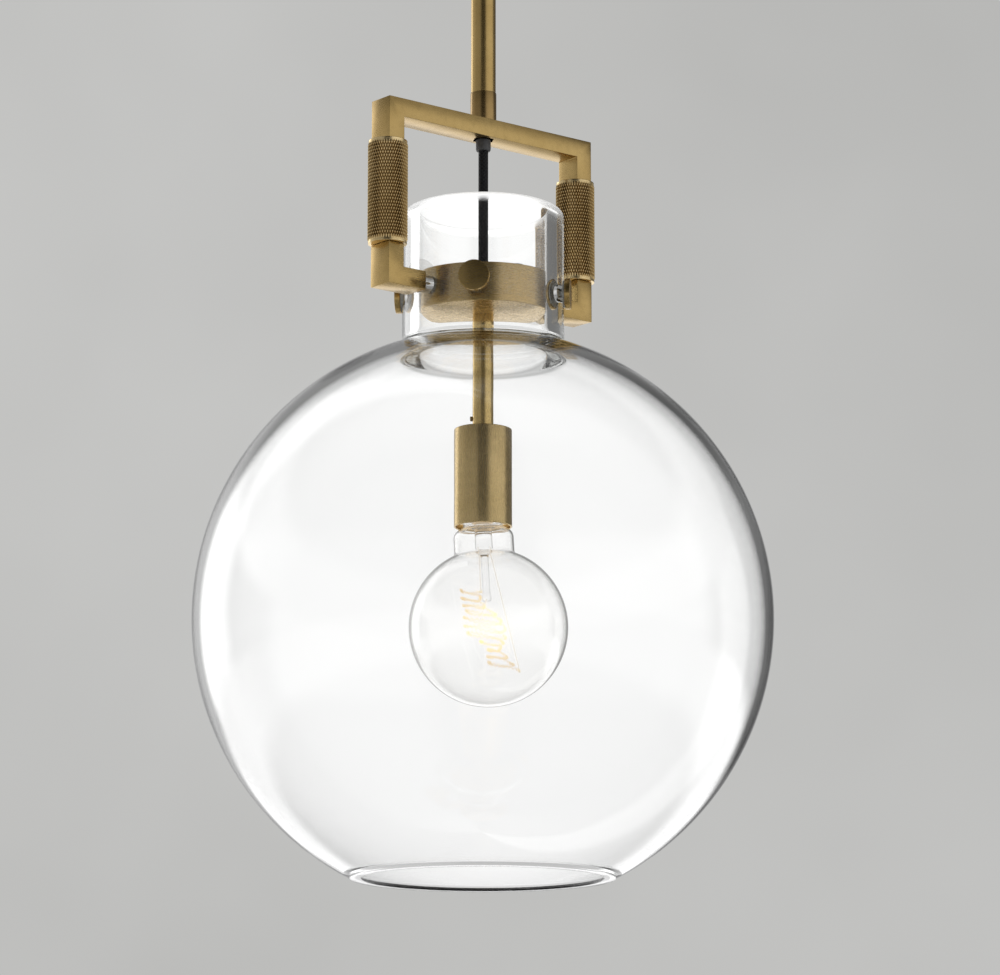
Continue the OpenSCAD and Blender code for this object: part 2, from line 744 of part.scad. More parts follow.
// The bulb's outline at a distance t inside the glass, from the axis outwards.
module bulb_outline(t) {
    r = bulb_r - t;
    neck = bulb_neck_r - t;
    top = bulb_shoulder_z - bulb_z;
    tail = bulb_cap_r - bulb_cap_t - lean_gap - t;
    round_r = bulb_neck_r - bulb_cap_r + bulb_cap_t;
    difference() {
        union() {
            circle(r = r, $fn = 180);
            square([neck, top - round_r]);
            translate([neck - round_r + t, top - round_r]) circle(r = round_r - t);
            square([neck - round_r + t, top - t]);
            square([tail, bulb_cap_bottom + 6 - bulb_z - t * 2]);
        }
        translate([-r - 1, -r - 1]) square([r + 1, r * 3]);
    }
}

module bulb_solid(t) {
    rotate_extrude() bulb_outline(t);
    rotate_extrude() neck_fillet(bulb_neck_r - t, bulb_r - t, neck_f + t);
}

// Leans the bulb's glass and what is in it, about the middle of the socket's mouth.
module leaning() {
    translate([0, 0, cup_bottom]) rotate([0, 0, lean_angle]) rotate([0, -bulb_lean, 0])
        rotate([0, 0, -lean_angle]) translate([0, 0, -cup_bottom]) children();
}

module bulb_envelope() {
    color(CLEAR) leaning() translate([0, 0, bulb_z]) difference() {
        bulb_solid(0);
        bulb_solid(bulb_wall);
    }
}

// The glass mount: a flared tube that is pinched to a slim stem with a bead at its end.
module bulb_mount() {
    top = bulb_cap_bottom + 3;
    flare = bulb_cap_r - bulb_cap_t - lean_gap - bulb_wall - 0.6;
    length = top - mount_end;
    pinch = mount_pinch - mount_end;
    color(CLEAR) leaning() difference() {
        translate([0, 0, mount_end]) rotate_extrude() polygon([[0, 0], [mount_stem_r, 0], [mount_bead_r, 1],
            [mount_bead_r, 3.5], [mount_stem_r, 5], [mount_stem_r, pinch - 2], [mount_r, pinch + 1],
            [mount_r, length - 6], [flare, length], [0, length]]);
        wires();
    }
}

// A straight round wire between two points.
module wire(a, b, r) {
    d = b - a;
    length = norm(d);
    translate(a) rotate([0, acos(d[2] / length), atan2(d[1], d[0])]) cylinder(h = length, r = r);
}

// The point on the way from p to a that lies just off the filament, whose middle passes through p.
function beside(p, a) = p + (a - p) / norm(a - p) * (filament_t + 0.09);

// Two lead-in wires hold the filament's ends, and two hooks at the mount's end hold its middle loops.
module wires() {
    spread = [cos(lean_angle), sin(lean_angle), 0];
    for (s = [-1, 1]) {
        lead = lead_x * s * spread + [0, 0, mount_pinch + 3];
        wire(lead, beside(filament_point(s < 0 ? 0 : 1), lead), lead_r);
        hook = [0, 0, mount_end + 1.5];
        wire(hook, beside(filament_point((4 + s * 2 / 7) / filament_loops), hook), hook_r);
    }
}

module support_wires() {
    color(STEEL) leaning() wires();
}

// The filament is one wire in wide loops around a line that leans and shifts sideways on its way down.
function filament_point(t) =
    let (loop = 360 * filament_loops * t, r = lookup(t, FILAMENT_RADIUS),
        along = lookup(t, FILAMENT_LEAN) + r * cos(loop), across = r * sin(loop))
    [along * cos(lean_angle) - across * sin(lean_angle),
        along * sin(lean_angle) + across * cos(lean_angle),
        filament_top - filament_h * t - filament_slant * r * cos(loop)];

module filament() {
    n = 14 * filament_loops;
    sides = 5;
    points = [for (i = [0 : n]) let (
            p = filament_point(i / n),
            q = filament_point(i / n + 0.002),
            d = (q - p) / norm(q - p),
            u = cross(d, [0, 0, 1]) / norm(cross(d, [0, 0, 1])),
            v = cross(d, u))
        each [for (k = [0 : sides - 1])
            p + filament_t * (cos(360 * k / sides) * u + sin(360 * k / sides) * v)]];
    walls = [for (i = [0 : n - 1]) for (k = [0 : sides - 1])
        let (a = i * sides, b = a + sides, m = (k + 1) % sides) [a + k, a + m, b + m, b + k]];
    ends = [[for (k = [sides - 1 : -1 : 0]) k], [for (k = [0 : sides - 1]) n * sides + k]];
    color([1, 0.85, 0.55]) leaning() polyhedron(points, concat(walls, ends), convexity = 8);
}

ceiling_bracket();
ground_screw();
canopy_studs();
wire_connectors();
canopy();
cap_nut(-1);  // cap_nut_left
cap_nut(1);  // cap_nut_right
swivel_seat();
swivel_ball();
stem_tube();
stem_coupler();
stem_nipple();
nipple_nut();
top_bar();
strain_relief();
cord();
grip(-1);  // left_grip
grip(1);  // right_grip
joining_studs();
arm(-1);  // left_arm
arm(1);  // right_arm
hub_cup();
hub_cover();
cover_pillars();
cover_screws();
cord_bush();
hub_sleeve();
arm_bolts();
arm_pads();
glass_bushes();
disc_screws();
disc_washers();
glass_globe();
socket_rod();
rod_nut();
rod_set_screw();
socket_cup();
socket_body();
socket_shell();
socket_contact();
terminal_screws();
lead_wires();
bulb_cap();
cap_insulator();
bulb_contact();
bulb_envelope();
bulb_mount();
support_wires();
filament();
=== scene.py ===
# %% [markdown]
# # A pendant light in clear glass and aged brass
# This lesson dresses a pendant ceiling light. The light hangs from a round canopy: a stem, a rectangular
# frame with two knurled grips, a brass hub inside the neck of a thick glass globe, and a globe bulb.
# Every new piece is then made in the same place as the part that it stands for, in metres, with +Z up
# and the ceiling at height zero.

# %% Load the frame
import math

import bmesh
import bpy
from mathutils import Matrix, Vector


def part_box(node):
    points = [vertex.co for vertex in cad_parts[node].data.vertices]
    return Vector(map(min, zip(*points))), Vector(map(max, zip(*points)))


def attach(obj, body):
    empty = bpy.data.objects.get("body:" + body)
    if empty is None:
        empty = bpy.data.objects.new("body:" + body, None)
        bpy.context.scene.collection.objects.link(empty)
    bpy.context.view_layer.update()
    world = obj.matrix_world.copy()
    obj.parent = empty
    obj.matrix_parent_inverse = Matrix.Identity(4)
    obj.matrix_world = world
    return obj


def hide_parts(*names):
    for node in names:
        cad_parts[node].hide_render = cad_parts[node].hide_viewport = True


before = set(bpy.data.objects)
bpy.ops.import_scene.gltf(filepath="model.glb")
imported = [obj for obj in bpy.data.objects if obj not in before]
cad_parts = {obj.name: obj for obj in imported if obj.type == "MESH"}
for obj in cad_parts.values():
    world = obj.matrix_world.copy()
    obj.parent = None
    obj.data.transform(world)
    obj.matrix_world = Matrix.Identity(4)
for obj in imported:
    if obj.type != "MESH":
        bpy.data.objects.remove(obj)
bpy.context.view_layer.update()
scene = bpy.context.scene
MM = 0.001

# %% [markdown]
# ## Where things are
# Only sizes that no box shows, such as the wall of the glass, are written as numbers.

# %% Heights and radii from the frame


def low(node):
    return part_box(node)[0]


def high(node):
    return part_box(node)[1]


ARM_Z = (low("disc_screws")[2] + high("disc_screws")[2]) / 2
GLOBE_Z = ARM_Z - 200.25 * MM
GLOBE_R = 175 * MM
HOLLOW_R = 170.5 * MM
HOLLOW_SINK = 1.2 * MM
RIM_DROP = 155.8 * MM
RIM_EDGE = 0.9 * MM
NECK_R = 49.6 * MM
BORE_R = 39.5 * MM
NECK_TOP = high("glass_globe")[2] - GLOBE_Z
print("globe centre at", round(GLOBE_Z, 4), "neck top", round(NECK_TOP, 4), "above it")

# %% [markdown]
# ## The camera
# The light is seen from below and a little from the left, with a long lens, so that upright edges stay
# almost parallel. The camera looks at a point just above the globe's centre.

# %% Camera
VIEW_AZIMUTH = math.radians(39.15)
VIEW_RISE = math.radians(11.42)
VIEW_DISTANCE = 2.388
VIEW_SIDE = 10.3 * MM
VIEW_TARGET = Vector((0, 0, GLOBE_Z + 80.8 * MM))
forward = Vector((math.sin(VIEW_AZIMUTH) * math.cos(VIEW_RISE),
                  math.cos(VIEW_AZIMUTH) * math.cos(VIEW_RISE), math.sin(VIEW_RISE)))
rightward = Vector((math.cos(VIEW_AZIMUTH), -math.sin(VIEW_AZIMUTH), 0))
camera_data = bpy.data.cameras.new("camera")
camera_data.sensor_width = 36
camera_data.lens = 141.8
camera_data.clip_end = 50
camera = bpy.data.objects.new("camera", camera_data)
camera.location = VIEW_TARGET - forward * VIEW_DISTANCE + rightward * VIEW_SIDE
camera.rotation_euler = forward.to_track_quat("-Z", "Y").to_euler()
scene.collection.objects.link(camera)
scene.camera = camera
scene.view_settings.view_transform = "Standard"
print("camera at", [round(v, 3) for v in camera.location])

# %% [markdown]
# ## Studio light
# Clear glass and polished metal show their surroundings more than they show light, so the surroundings
# do most of the work here. One world shader holds three scenes. What the camera sees directly is a
# plain pale grey. What it sees straight through the glass is close to white, as a lit panel behind the
# light would be. What metal and glass mirror is a studio with a bright floor, a bright strip on one
# side, a broad soft panel on the other and darker gaps between them.

# %% World
world = bpy.data.worlds.new("studio")
scene.world = world
world.use_nodes = True


def wire(tree, kind, inputs=None, **settings):
    """Adds a node, sets its attributes, and feeds its inputs with values or with other sockets."""
    node = tree.nodes.new(kind)
    for key, value in settings.items():
        setattr(node, key, value)
    for key, value in (inputs or {}).items():
        if isinstance(value, bpy.types.NodeSocket):
            tree.links.new(value, node.inputs[key])
        else:
            node.inputs[key].default_value = value
    return node


def ramp(tree, fac, stops, interpolation="EASE"):
    """A colour ramp whose stops are pairs of a place and a grey level or a colour."""
    node = wire(tree, "ShaderNodeValToRGB", {"Fac": fac})
    node.color_ramp.interpolation = interpolation
    elements = node.color_ramp.elements
    while len(elements) < len(stops):
        elements.new(0.5)
    for element, (place, tone) in zip(elements, stops):
        element.position = place
        level = tone if isinstance(tone, tuple) else (tone, tone, tone)
        element.color = (*level, 1)
    return node.outputs["Color"]


def maths(tree, operation, a, b=0.0, clamp=False):
    node = wire(tree, "ShaderNodeMath", {0: a, 1: b}, operation=operation)
    node.use_clamp = clamp
    return node.outputs[0]


def blend_colours(tree, fac, a, b, mode="MIX"):
    """Mixes two colours with a Mix node, which has one set of sockets for each kind of data."""
    node = tree.nodes.new("ShaderNodeMix")
    node.data_type = "RGBA"
    node.blend_type = mode
    for socket, value in ((node.inputs[0], fac), (node.inputs[6], a), (node.inputs[7], b)):
        if isinstance(value, bpy.types.NodeSocket):
            tree.links.new(value, socket)
        else:
            socket.default_value = value
    return node.outputs[2]


tree = world.node_tree
tree.nodes.clear()
direction = wire(tree, "ShaderNodeTexCoord").outputs["Generated"]
turned = wire(tree, "ShaderNodeVectorRotate", {"Vector": direction, "Angle": VIEW_AZIMUTH},
              rotation_type="Z_AXIS").outputs[0]
parts = wire(tree, "ShaderNodeSeparateXYZ", {"Vector": turned})
around = maths(tree, "ARCTAN2", parts.outputs["X"], maths(tree, "MULTIPLY", parts.outputs["Y"], -1.0))
turn = maths(tree, "ADD", maths(tree, "DIVIDE", around, 2 * math.pi), 0.5)
height = maths(tree, "ADD", maths(tree, "MULTIPLY", parts.outputs["Z"], 0.5), 0.5)

# The mirrored studio, from behind the light (0), round its left, the camera's side (0.5) and its right (1).
walls = ramp(tree, turn, [(0.0, 0.50), (0.08, 0.55), (0.105, 2.1), (0.15, 2.1), (0.18, 0.60), (0.25, 0.56),
                          (0.30, 0.40), (0.42, 0.36), (0.46, 0.05), (0.54, 0.05), (0.59, 0.76), (0.66, 0.84),
                          (0.76, 0.80), (0.80, 0.14), (0.94, 0.14), (1.0, 0.50)])
upper = ramp(tree, height, [(0.0, 0.0), (0.44, 0.0), (0.50, 1.0), (0.66, 1.0), (0.74, 0.45), (1.0, 0.5)])
ground = ramp(tree, height, [(0.0, 0.5), (0.27, 0.55), (0.34, 1.40), (0.44, 1.36), (0.49, 0.0), (1.0, 0.0)])
ground_side = ramp(tree, turn, [(0.0, 1.0), (0.13, 1.0), (0.25, 0.45), (0.75, 0.45), (0.87, 1.0), (1.0, 1.0)])
mirrored = blend_colours(tree, 1.0, blend_colours(tree, 1.0, walls, upper, "MULTIPLY"),
                         blend_colours(tree, 1.0, ground, ground_side, "MULTIPLY"), "ADD")
mottle = wire(tree, "ShaderNodeTexNoise", {"Vector": direction, "Scale": 2.2, "Detail": 5.0, "Roughness": 0.55})
backdrop = ramp(tree, mottle.outputs["Fac"], [(0.3, (0.46, 0.46, 0.45)), (0.7, (0.60, 0.60, 0.59))], "LINEAR")
# Seen through glass: a white panel behind the light, with grey card past its sides and its top.
panel = ramp(tree, turn, [(0.0, 1.085), (0.06, 1.05), (0.10, 0.85), (0.17, 0.30), (0.34, 0.28), (0.45, 0.90),
                          (0.55, 0.90), (0.66, 0.26), (0.83, 0.24), (0.90, 0.85), (0.94, 1.05), (1.0, 1.085)])
panel_rise = ramp(tree, height, [(0.0, 0.55), (0.36, 0.75), (0.46, 0.99), (0.59, 1.0), (0.62, 1.03),
                                 (0.645, 1.12), (0.70, 0.98), (0.78, 0.60), (0.86, 0.78), (1.0, 1.0)],
                  "LINEAR")
white_card = blend_colours(tree, 1.0, panel, panel_rise, "MULTIPLY")
rays = wire(tree, "ShaderNodeLightPath")
bounced = maths(tree, "ADD", rays.outputs["Glossy Depth"], rays.outputs["Diffuse Depth"], clamp=True)
through = maths(tree, "MINIMUM", rays.outputs["Transmission Depth"], 1.0)
seen = blend_colours(tree, through, backdrop, white_card)
dimmed = blend_colours(tree, 1.0, blend_colours(tree, 1.0, mirrored, (0.06, 0.06, 0.06, 1), "ADD"),
                       (1.7, 1.7, 1.7, 1), "DARKEN")
inside = blend_colours(tree, through, mirrored, dimmed)
colour = blend_colours(tree, bounced, seen, inside)
shader = wire(tree, "ShaderNodeBackground", {"Color": colour, "Strength": 1.0})
wire(tree, "ShaderNodeOutputWorld", {"Surface": shader.outputs[0]})
print("world has", len(tree.nodes), "nodes")

# %% [markdown]
# A pale floor lies well below the light. It catches views from above, and it is hidden from mirrored
# and refracted rays, so the metal keeps the bright studio floor of the world shader. A camera that looks
# up from more than about 30 degrees below the light would stand under this floor and see only the floor.

# %% Floor
FLOOR_Z = -2.2
bm = bmesh.new()
bmesh.ops.create_circle(bm, cap_ends=True, segments=64, radius=9, matrix=Matrix.Translation((0, 0, FLOOR_Z)))
floor_mesh = bpy.data.meshes.new("floor")
bm.to_mesh(floor_mesh)
bm.free()
floor = bpy.data.objects.new("floor", floor_mesh)
scene.collection.objects.link(floor)
floor_material = bpy.data.materials.new("pale floor")
floor_material.use_nodes = True
floor_tree = floor_material.node_tree
floor_tree.nodes["Principled BSDF"].inputs["Roughness"].default_value = 0.9
grain = wire(floor_tree, "ShaderNodeTexNoise", {"Scale": 3.0, "Detail": 6.0})
floor_tree.links.new(ramp(floor_tree, grain.outputs["Fac"], [(0.3, 0.50), (0.7, 0.58)], "LINEAR"),
                     floor_tree.nodes["Principled BSDF"].inputs["Base Color"])
floor_mesh.materials.append(floor_material)
floor.visible_glossy = False
floor.visible_transmission = False
floor.visible_diffuse = False

# %% [markdown]
# ## Brass
# Aged brass is not one colour. Handling and lacquer leave it a little browner in some places and
# yellower in others, and the fine satin finish shows as short streaks. The material mixes two tones
# with a soft noise, adds streaks that are stretched along the piece, and lets the same patterns drive
# the roughness and a very shallow bump. The coupler is browner. The rod and the cup get brightened
# copies, painted light that lifts them inside the glass, and the rod's copy is paler as well, so each
# of them mixes its own two tones.

# %% Brass material


def material(name):
    made = bpy.data.materials.new(name)
    made.use_nodes = True
    return made, made.node_tree, made.node_tree.nodes["Principled BSDF"]


def object_coords(tree, scale=(1, 1, 1)):
    coords = wire(tree, "ShaderNodeTexCoord").outputs["Object"]
    return wire(tree, "ShaderNodeMapping", {"Vector": coords, "Scale": scale}).outputs[0]


def brass(name, streak=(1, 1, 0.06), dark=(0.50, 0.342, 0.128), light=(0.585, 0.412, 0.165), rough=0.26):
    made, tree, skin = material(name)
    cloud = wire(tree, "ShaderNodeTexNoise", {"Vector": object_coords(tree), "Scale": 34.0, "Detail": 5.0,
                                              "Roughness": 0.6})
    grain = wire(tree, "ShaderNodeTexNoise", {"Vector": object_coords(tree, streak), "Scale": 2600.0,
                                              "Detail": 2.0})
    patina = wire(tree, "ShaderNodeTexNoise", {"Vector": object_coords(tree), "Scale": 260.0, "Detail": 4.0,
                                               "Roughness": 0.7})
    tone = ramp(tree, cloud.outputs["Fac"], [(0.30, dark), (0.68, light)], "LINEAR")
    spots = ramp(tree, patina.outputs["Fac"], [(0.30, 0.88), (0.52, 1.0)], "LINEAR")
    lines = ramp(tree, grain.outputs["Fac"], [(0.25, 0.95), (0.75, 1.03)], "LINEAR")
    colour = blend_colours(tree, 1.0, blend_colours(tree, 1.0, tone, spots, "MULTIPLY"), lines, "MULTIPLY")
    tree.links.new(colour, skin.inputs["Base Color"])
    skin.inputs["Metallic"].default_value = 1.0
    rough_map = wire(tree, "ShaderNodeMapRange", {"Value": grain.outputs["Fac"], "From Min": 0.2,
                                                  "From Max": 0.8, "To Min": rough - 0.05,
                                                  "To Max": rough + 0.07})
    tree.links.new(rough_map.outputs[0], skin.inputs["Roughness"])
    bump = wire(tree, "ShaderNodeBump", {"Height": grain.outputs["Fac"], "Strength": 0.03, "Distance": 0.0002})
    tree.links.new(bump.outputs[0], skin.inputs["Normal"])
    return made


def add_painted_groove_shade(made):
    """Darkens the bottoms of the knurl's grooves by the mesh's own attribute: painted shade, where the grooves
    fall in shadow.
    """
    tree = made.node_tree
    socket = tree.nodes["Principled BSDF"].inputs["Base Color"]
    tone = socket.links[0].from_socket
    height = wire(tree, "ShaderNodeAttribute", attribute_name="tip")
    shade = ramp(tree, height.outputs["Fac"],
                 [(0.0, (0.20, 0.14, 0.07)), (0.35, (0.45, 0.36, 0.24)), (0.7, 1.0)], "LINEAR")
    tree.links.new(blend_colours(tree, 1.0, tone, shade, "MULTIPLY"), socket)


BRASS_UP = brass("brass with upright satin")
BRASS_ALONG = brass("brass with lengthwise satin", streak=(0.06, 1, 1))
BRASS_ROUND = brass("brass with turned satin", streak=(0.1, 0.1, 3))
# The cup's and the rod's copies are brightened: painted light that lifts them inside the glass. The rod's is
# paler as well.
BRASS_SOFT_BRIGHTENED = brass("soft brass brightened as painted light, with upright satin", dark=(0.57, 0.42, 0.19), light=(0.68, 0.51, 0.25))
BRASS_BROWN = brass("browned brass with turned satin", streak=(0.3, 0.3, 1), dark=(0.34, 0.22, 0.085),
                    light=(0.43, 0.29, 0.12))
BRASS_PALE_BRIGHTENED = brass("pale brass brightened as painted light, with upright satin", dark=(0.66, 0.47, 0.19), light=(0.88, 0.66, 0.30))
KNURL = brass("knurled brass", streak=(1, 1, 1), dark=(0.70, 0.52, 0.25), light=(0.95, 0.74, 0.40), rough=0.24)
# The knurl's grooves get painted shade.
add_painted_groove_shade(KNURL)
print("brass materials:", BRASS_UP.name, BRASS_ALONG.name, BRASS_ROUND.name, KNURL.name)

# %% [markdown]
# ## Glass
# The globe is clear, but its wall is thick, and a long way through glass is never quite colourless. The
# shader refracts at both faces, and a thin absorption inside it greys the rim of the globe, where a ray
# runs inside the wall for centimetres. A faint bump stands for the ripple of blown glass. The lip of the
# neck is ground: it is rougher there, and a little light of its own stands for the light that it scatters.

# %% Glass materials


def warm(made, colour, strength):
    """Gives a finish the faint light that it takes from the lit filament beside it."""
    skin = made.node_tree.nodes["Principled BSDF"]
    skin.inputs["Emission Color"].default_value = (*colour, 1)
    skin.inputs["Emission Strength"].default_value = strength


def glass(name, ripple=0.0, ripple_scale=14.0, absorb=0.0, tint=(0.84, 0.85, 0.835), ior=1.5,
          lip_height=None):
    made, tree, skin = material(name)
    skin.inputs["Base Color"].default_value = (1, 1, 1, 1)
    skin.inputs["Transmission Weight"].default_value = 1.0
    skin.inputs["Roughness"].default_value = 0.0
    skin.inputs["IOR"].default_value = ior
    if ripple:
        flow = wire(tree, "ShaderNodeTexNoise", {"Vector": object_coords(tree, (1, 1, 0.5)),
                                                 "Scale": ripple_scale, "Detail": 1.0})
        bump = wire(tree, "ShaderNodeBump", {"Height": flow.outputs["Fac"], "Strength": ripple,
                                             "Distance": 0.004})
        tree.links.new(bump.outputs[0], skin.inputs["Normal"])
    if lip_height is not None:
        coords = wire(tree, "ShaderNodeTexCoord").outputs["Object"]
        place = wire(tree, "ShaderNodeSeparateXYZ", {"Vector": coords})
        ground_lip = wire(tree, "ShaderNodeMapRange", {"Value": place.outputs["Z"],
                                                       "From Min": lip_height - 1.5 * MM,
                                                       "From Max": lip_height + 1.5 * MM, "To Max": 0.42})
        tree.links.new(ground_lip.outputs[0], skin.inputs["Roughness"])
        skin.inputs["Emission Color"].default_value = (1, 1, 1, 1)
        tree.links.new(maths(tree, "MULTIPLY", ground_lip.outputs[0], 0.9), skin.inputs["Emission Strength"])
    if absorb:
        inside = wire(tree, "ShaderNodeVolumeAbsorption", {"Color": (*tint, 1), "Density": absorb})
        tree.links.new(inside.outputs[0], tree.nodes["Material Output"].inputs["Volume"])
    return made


GLOBE_GLASS = glass("globe glass", ripple=0.10, absorb=26.0, lip_height=GLOBE_Z + NECK_TOP - 4 * MM)
BULB_GLASS = glass("bulb glass", ior=1.47, absorb=45.0)
warm(BULB_GLASS, (1.0, 0.97, 0.90), 0.025)
MOUNT_GLASS = glass("mount glass", ior=1.22)

# %% [markdown]
# ## Plain finishes
# The small parts need less: zinc-plated steel, black cable sleeve, moulded plastic, porcelain and rubber.
# Each still gets a little variation in tone and roughness, because a flat colour looks like plastic. The
# glass, metal, porcelain and fine wire round the filament also get a faint light of their own, in place
# of the light that a burning filament would throw on them.

# %% Small materials


def plain(name, colour, rough=0.5, metal=0.0, scale=220.0, vary=0.12, bump=0.04):
    made, tree, skin = material(name)
    noise = wire(tree, "ShaderNodeTexNoise", {"Vector": object_coords(tree), "Scale": scale, "Detail": 4.0})
    low_tone = tuple(c * (1 - vary) for c in colour)
    high_tone = tuple(min(1.0, c * (1 + vary)) for c in colour)
    tree.links.new(ramp(tree, noise.outputs["Fac"], [(0.3, low_tone), (0.7, high_tone)], "LINEAR"),
                   skin.inputs["Base Color"])
    spread = wire(tree, "ShaderNodeMapRange", {"Value": noise.outputs["Fac"], "To Min": rough * 0.85,
                                               "To Max": min(1.0, rough * 1.15)})
    tree.links.new(spread.outputs[0], skin.inputs["Roughness"])
    skin.inputs["Metallic"].default_value = metal
    relief = wire(tree, "ShaderNodeBump", {"Height": noise.outputs["Fac"], "Strength": bump,
                                           "Distance": 0.0003})
    tree.links.new(relief.outputs[0], skin.inputs["Normal"])
    return made


STEEL = plain("zinc plate", (0.55, 0.56, 0.58), 0.34, 1.0)
GREEN = plain("green ground screw", (0.05, 0.24, 0.08), 0.4, 0.6)
ORANGE = plain("orange connector", (0.72, 0.22, 0.03), 0.45)
BLACK = plain("black sleeve", (0.012, 0.012, 0.014), 0.55, scale=900.0, vary=0.4, bump=0.3)
RUBBER = plain("grey-black rubber", (0.10, 0.10, 0.103), 0.6, scale=500.0, vary=0.3, bump=0.2)
NYLON = plain("natural nylon", (0.72, 0.72, 0.68), 0.4)
PORCELAIN = plain("white porcelain", (0.80, 0.78, 0.72), 0.18)
warm(PORCELAIN, (1.0, 0.78, 0.48), 0.5)
BRIGHT_BRASS = plain("bright contact brass", (0.70, 0.50, 0.20), 0.22, 1.0)
RED_WIRE = plain("wire insulation", (0.42, 0.06, 0.03), 0.5)
CAP_METAL = plain("bulb cap", (0.66, 0.63, 0.55), 0.28, 1.0)
warm(CAP_METAL, (1.0, 0.72, 0.40), 0.35)
BLACK_GLASS = plain("black insulator", (0.01, 0.01, 0.012), 0.15)
FINE_WIRE = plain("fine wire", (0.88, 0.84, 0.76), 0.5)
warm(FINE_WIRE, (1.0, 0.94, 0.84), 0.7)


def clear_plastic(name, alpha):
    """Clear soft plastic that hugs another piece: mostly see-through, so that what it covers shows."""
    made, tree, skin = material(name)
    noise = wire(tree, "ShaderNodeTexNoise", {"Vector": object_coords(tree), "Scale": 180.0, "Detail": 3.0})
    tones = [(0.3, (0.86, 0.82, 0.70)), (0.7, (0.94, 0.90, 0.78))]
    tree.links.new(ramp(tree, noise.outputs["Fac"], tones, "LINEAR"), skin.inputs["Base Color"])
    skin.inputs["Alpha"].default_value = alpha
    skin.inputs["Roughness"].default_value = 0.3
    return made


SLEEVE_CLEAR = clear_plastic("clear hub sleeve", 0.04)
PAD_CLEAR = clear_plastic("clear pad", 0.13)

PLAIN_FINISH = {
    "ceiling_bracket": STEEL, "canopy_studs": STEEL, "stem_nipple": STEEL, "nipple_nut": STEEL,
    "joining_studs": STEEL, "cover_screws": STEEL, "arm_bolts": STEEL, "rod_nut": STEEL,
    "ground_screw": GREEN, "wire_connectors": ORANGE, "swivel_ball": BRASS_ROUND, "swivel_seat": BRASS_ROUND,
    "cover_pillars": BRASS_UP, "hub_cover": BRASS_ROUND, "cord_bush": BLACK, "hub_sleeve": SLEEVE_CLEAR,
    "glass_bushes": NYLON, "disc_washers": NYLON, "socket_body": PORCELAIN, "socket_shell": BRIGHT_BRASS,
    "socket_contact": BRIGHT_BRASS, "terminal_screws": BRIGHT_BRASS, "lead_wires": RED_WIRE,
    "bulb_contact": CAP_METAL, "cap_insulator": BLACK_GLASS, "support_wires": FINE_WIRE,
}
for node_name, finish in PLAIN_FINISH.items():
    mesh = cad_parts[node_name].data
    mesh.materials.clear()
    mesh.materials.append(finish)
print(len(PLAIN_FINISH), "engineered parts keep their shape and get a finish")

# %% [markdown]
# ## Turning on the lathe
# Most brass and glass parts here are turned or blown, so they are round about one axis. An outline of
# radius and height is drawn first, its corners are rounded with short arcs, and bmesh's spin sweeps it
# around the axis. The helpers below draw arcs, round corners, spin, and place the finished piece.

# %% Outline and lathe helpers


def arc(centre, radius, start, end, steps):
    """Points on a circle from one angle to another, in degrees, both ends included."""
    angles = [math.radians(start + (end - start) * i / steps) for i in range(steps + 1)]
    return [(centre[0] + radius * math.cos(a), centre[1] + radius * math.sin(a)) for a in angles]


def rounded(points, radius, steps=3):
    """The outline with each inner corner replaced by a short arc. The two end points stay."""
    out = [points[0]]
    for before, corner, after in zip(points, points[1:], points[2:]):
        corner_v = Vector(corner)
        to_before, to_after = Vector(before) - corner_v, Vector(after) - corner_v
        reach = min(radius, to_before.length * 0.45, to_after.length * 0.45)
        start, end = corner_v + to_before.normalized() * reach, corner_v + to_after.normalized() * reach
        for i in range(steps + 1):
            t = i / steps
            out.append(tuple(start * (1 - t) ** 2 + corner_v * 2 * t * (1 - t) + end * t * t))
    return out + [points[-1]]


def lathe(outline, steps=96, closed=False, axis=(0, 0)):
    """Spins an outline of (radius, height) pairs about an upright axis through (x, y)."""
    bm = bmesh.new()
    verts = [bm.verts.new((axis[0] + r, axis[1], z)) for r, z in outline]
    pairs = list(zip(verts, verts[1:])) + ([(verts[-1], verts[0])] if closed else [])
    edges = [bm.edges.new(pair) for pair in pairs]
    bmesh.ops.spin(bm, geom=verts + edges, cent=(*axis, 0), axis=(0, 0, 1), angle=2 * math.pi, steps=steps,
                   use_merge=True)
    bmesh.ops.remove_doubles(bm, verts=bm.verts, dist=1e-7)
    bmesh.ops.recalc_face_normals(bm, faces=bm.faces)
    return bm


def piece(name, bm, body, finish, replaces=(), sharp=40):
    """Turns a bmesh into a finished piece: shading, finish, the body it rides on and what it stands for."""
    mesh = bpy.data.meshes.new(name)
    bm.to_mesh(mesh)
    bm.free()
    mesh.shade_smooth()
    mesh.set_sharp_from_angle(angle=math.radians(sharp))
    mesh.materials.append(finish)
    made = bpy.data.objects.new(name, mesh)
    scene.collection.objects.link(made)
    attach(made, body)
    if replaces:
        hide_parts(*replaces)
    print(f"{name}: {len(mesh.polygons)} faces on {body}")
    return made


def join(target, other):
    """Adds a second bmesh to the first."""
    spare = bpy.data.meshes.new("spare")
    other.to_mesh(spare)
    other.free()
    target.from_mesh(spare)
    bpy.data.meshes.remove(spare)
    return target


def middle(node):
    a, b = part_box(node)
    return [(a[i] + b[i]) / 2 for i in range(3)]


def turned(name, node, outline, finish, body="pendant", slot="brass", soft=0.4, steps=96):
    """A lathe piece that stands for one round node, on the node's own upright axis."""
    x, y, _ = middle(node)
    bm = lathe(rounded(outline, soft * MM), steps, axis=(x, y))
    return piece(name, bm, body, finish, (node,))


# %% [markdown]
# ## The globe
# The globe is one piece of glass: a round body open at the bottom, with a heavy neck. The outline runs
# up the outside, over the rounded lip, and down the inside. Tangent arcs join the neck to the body.
# The inside surface has its own, lower centre, so the wall is thick at the shoulder and thin at the rim.

# %% Globe


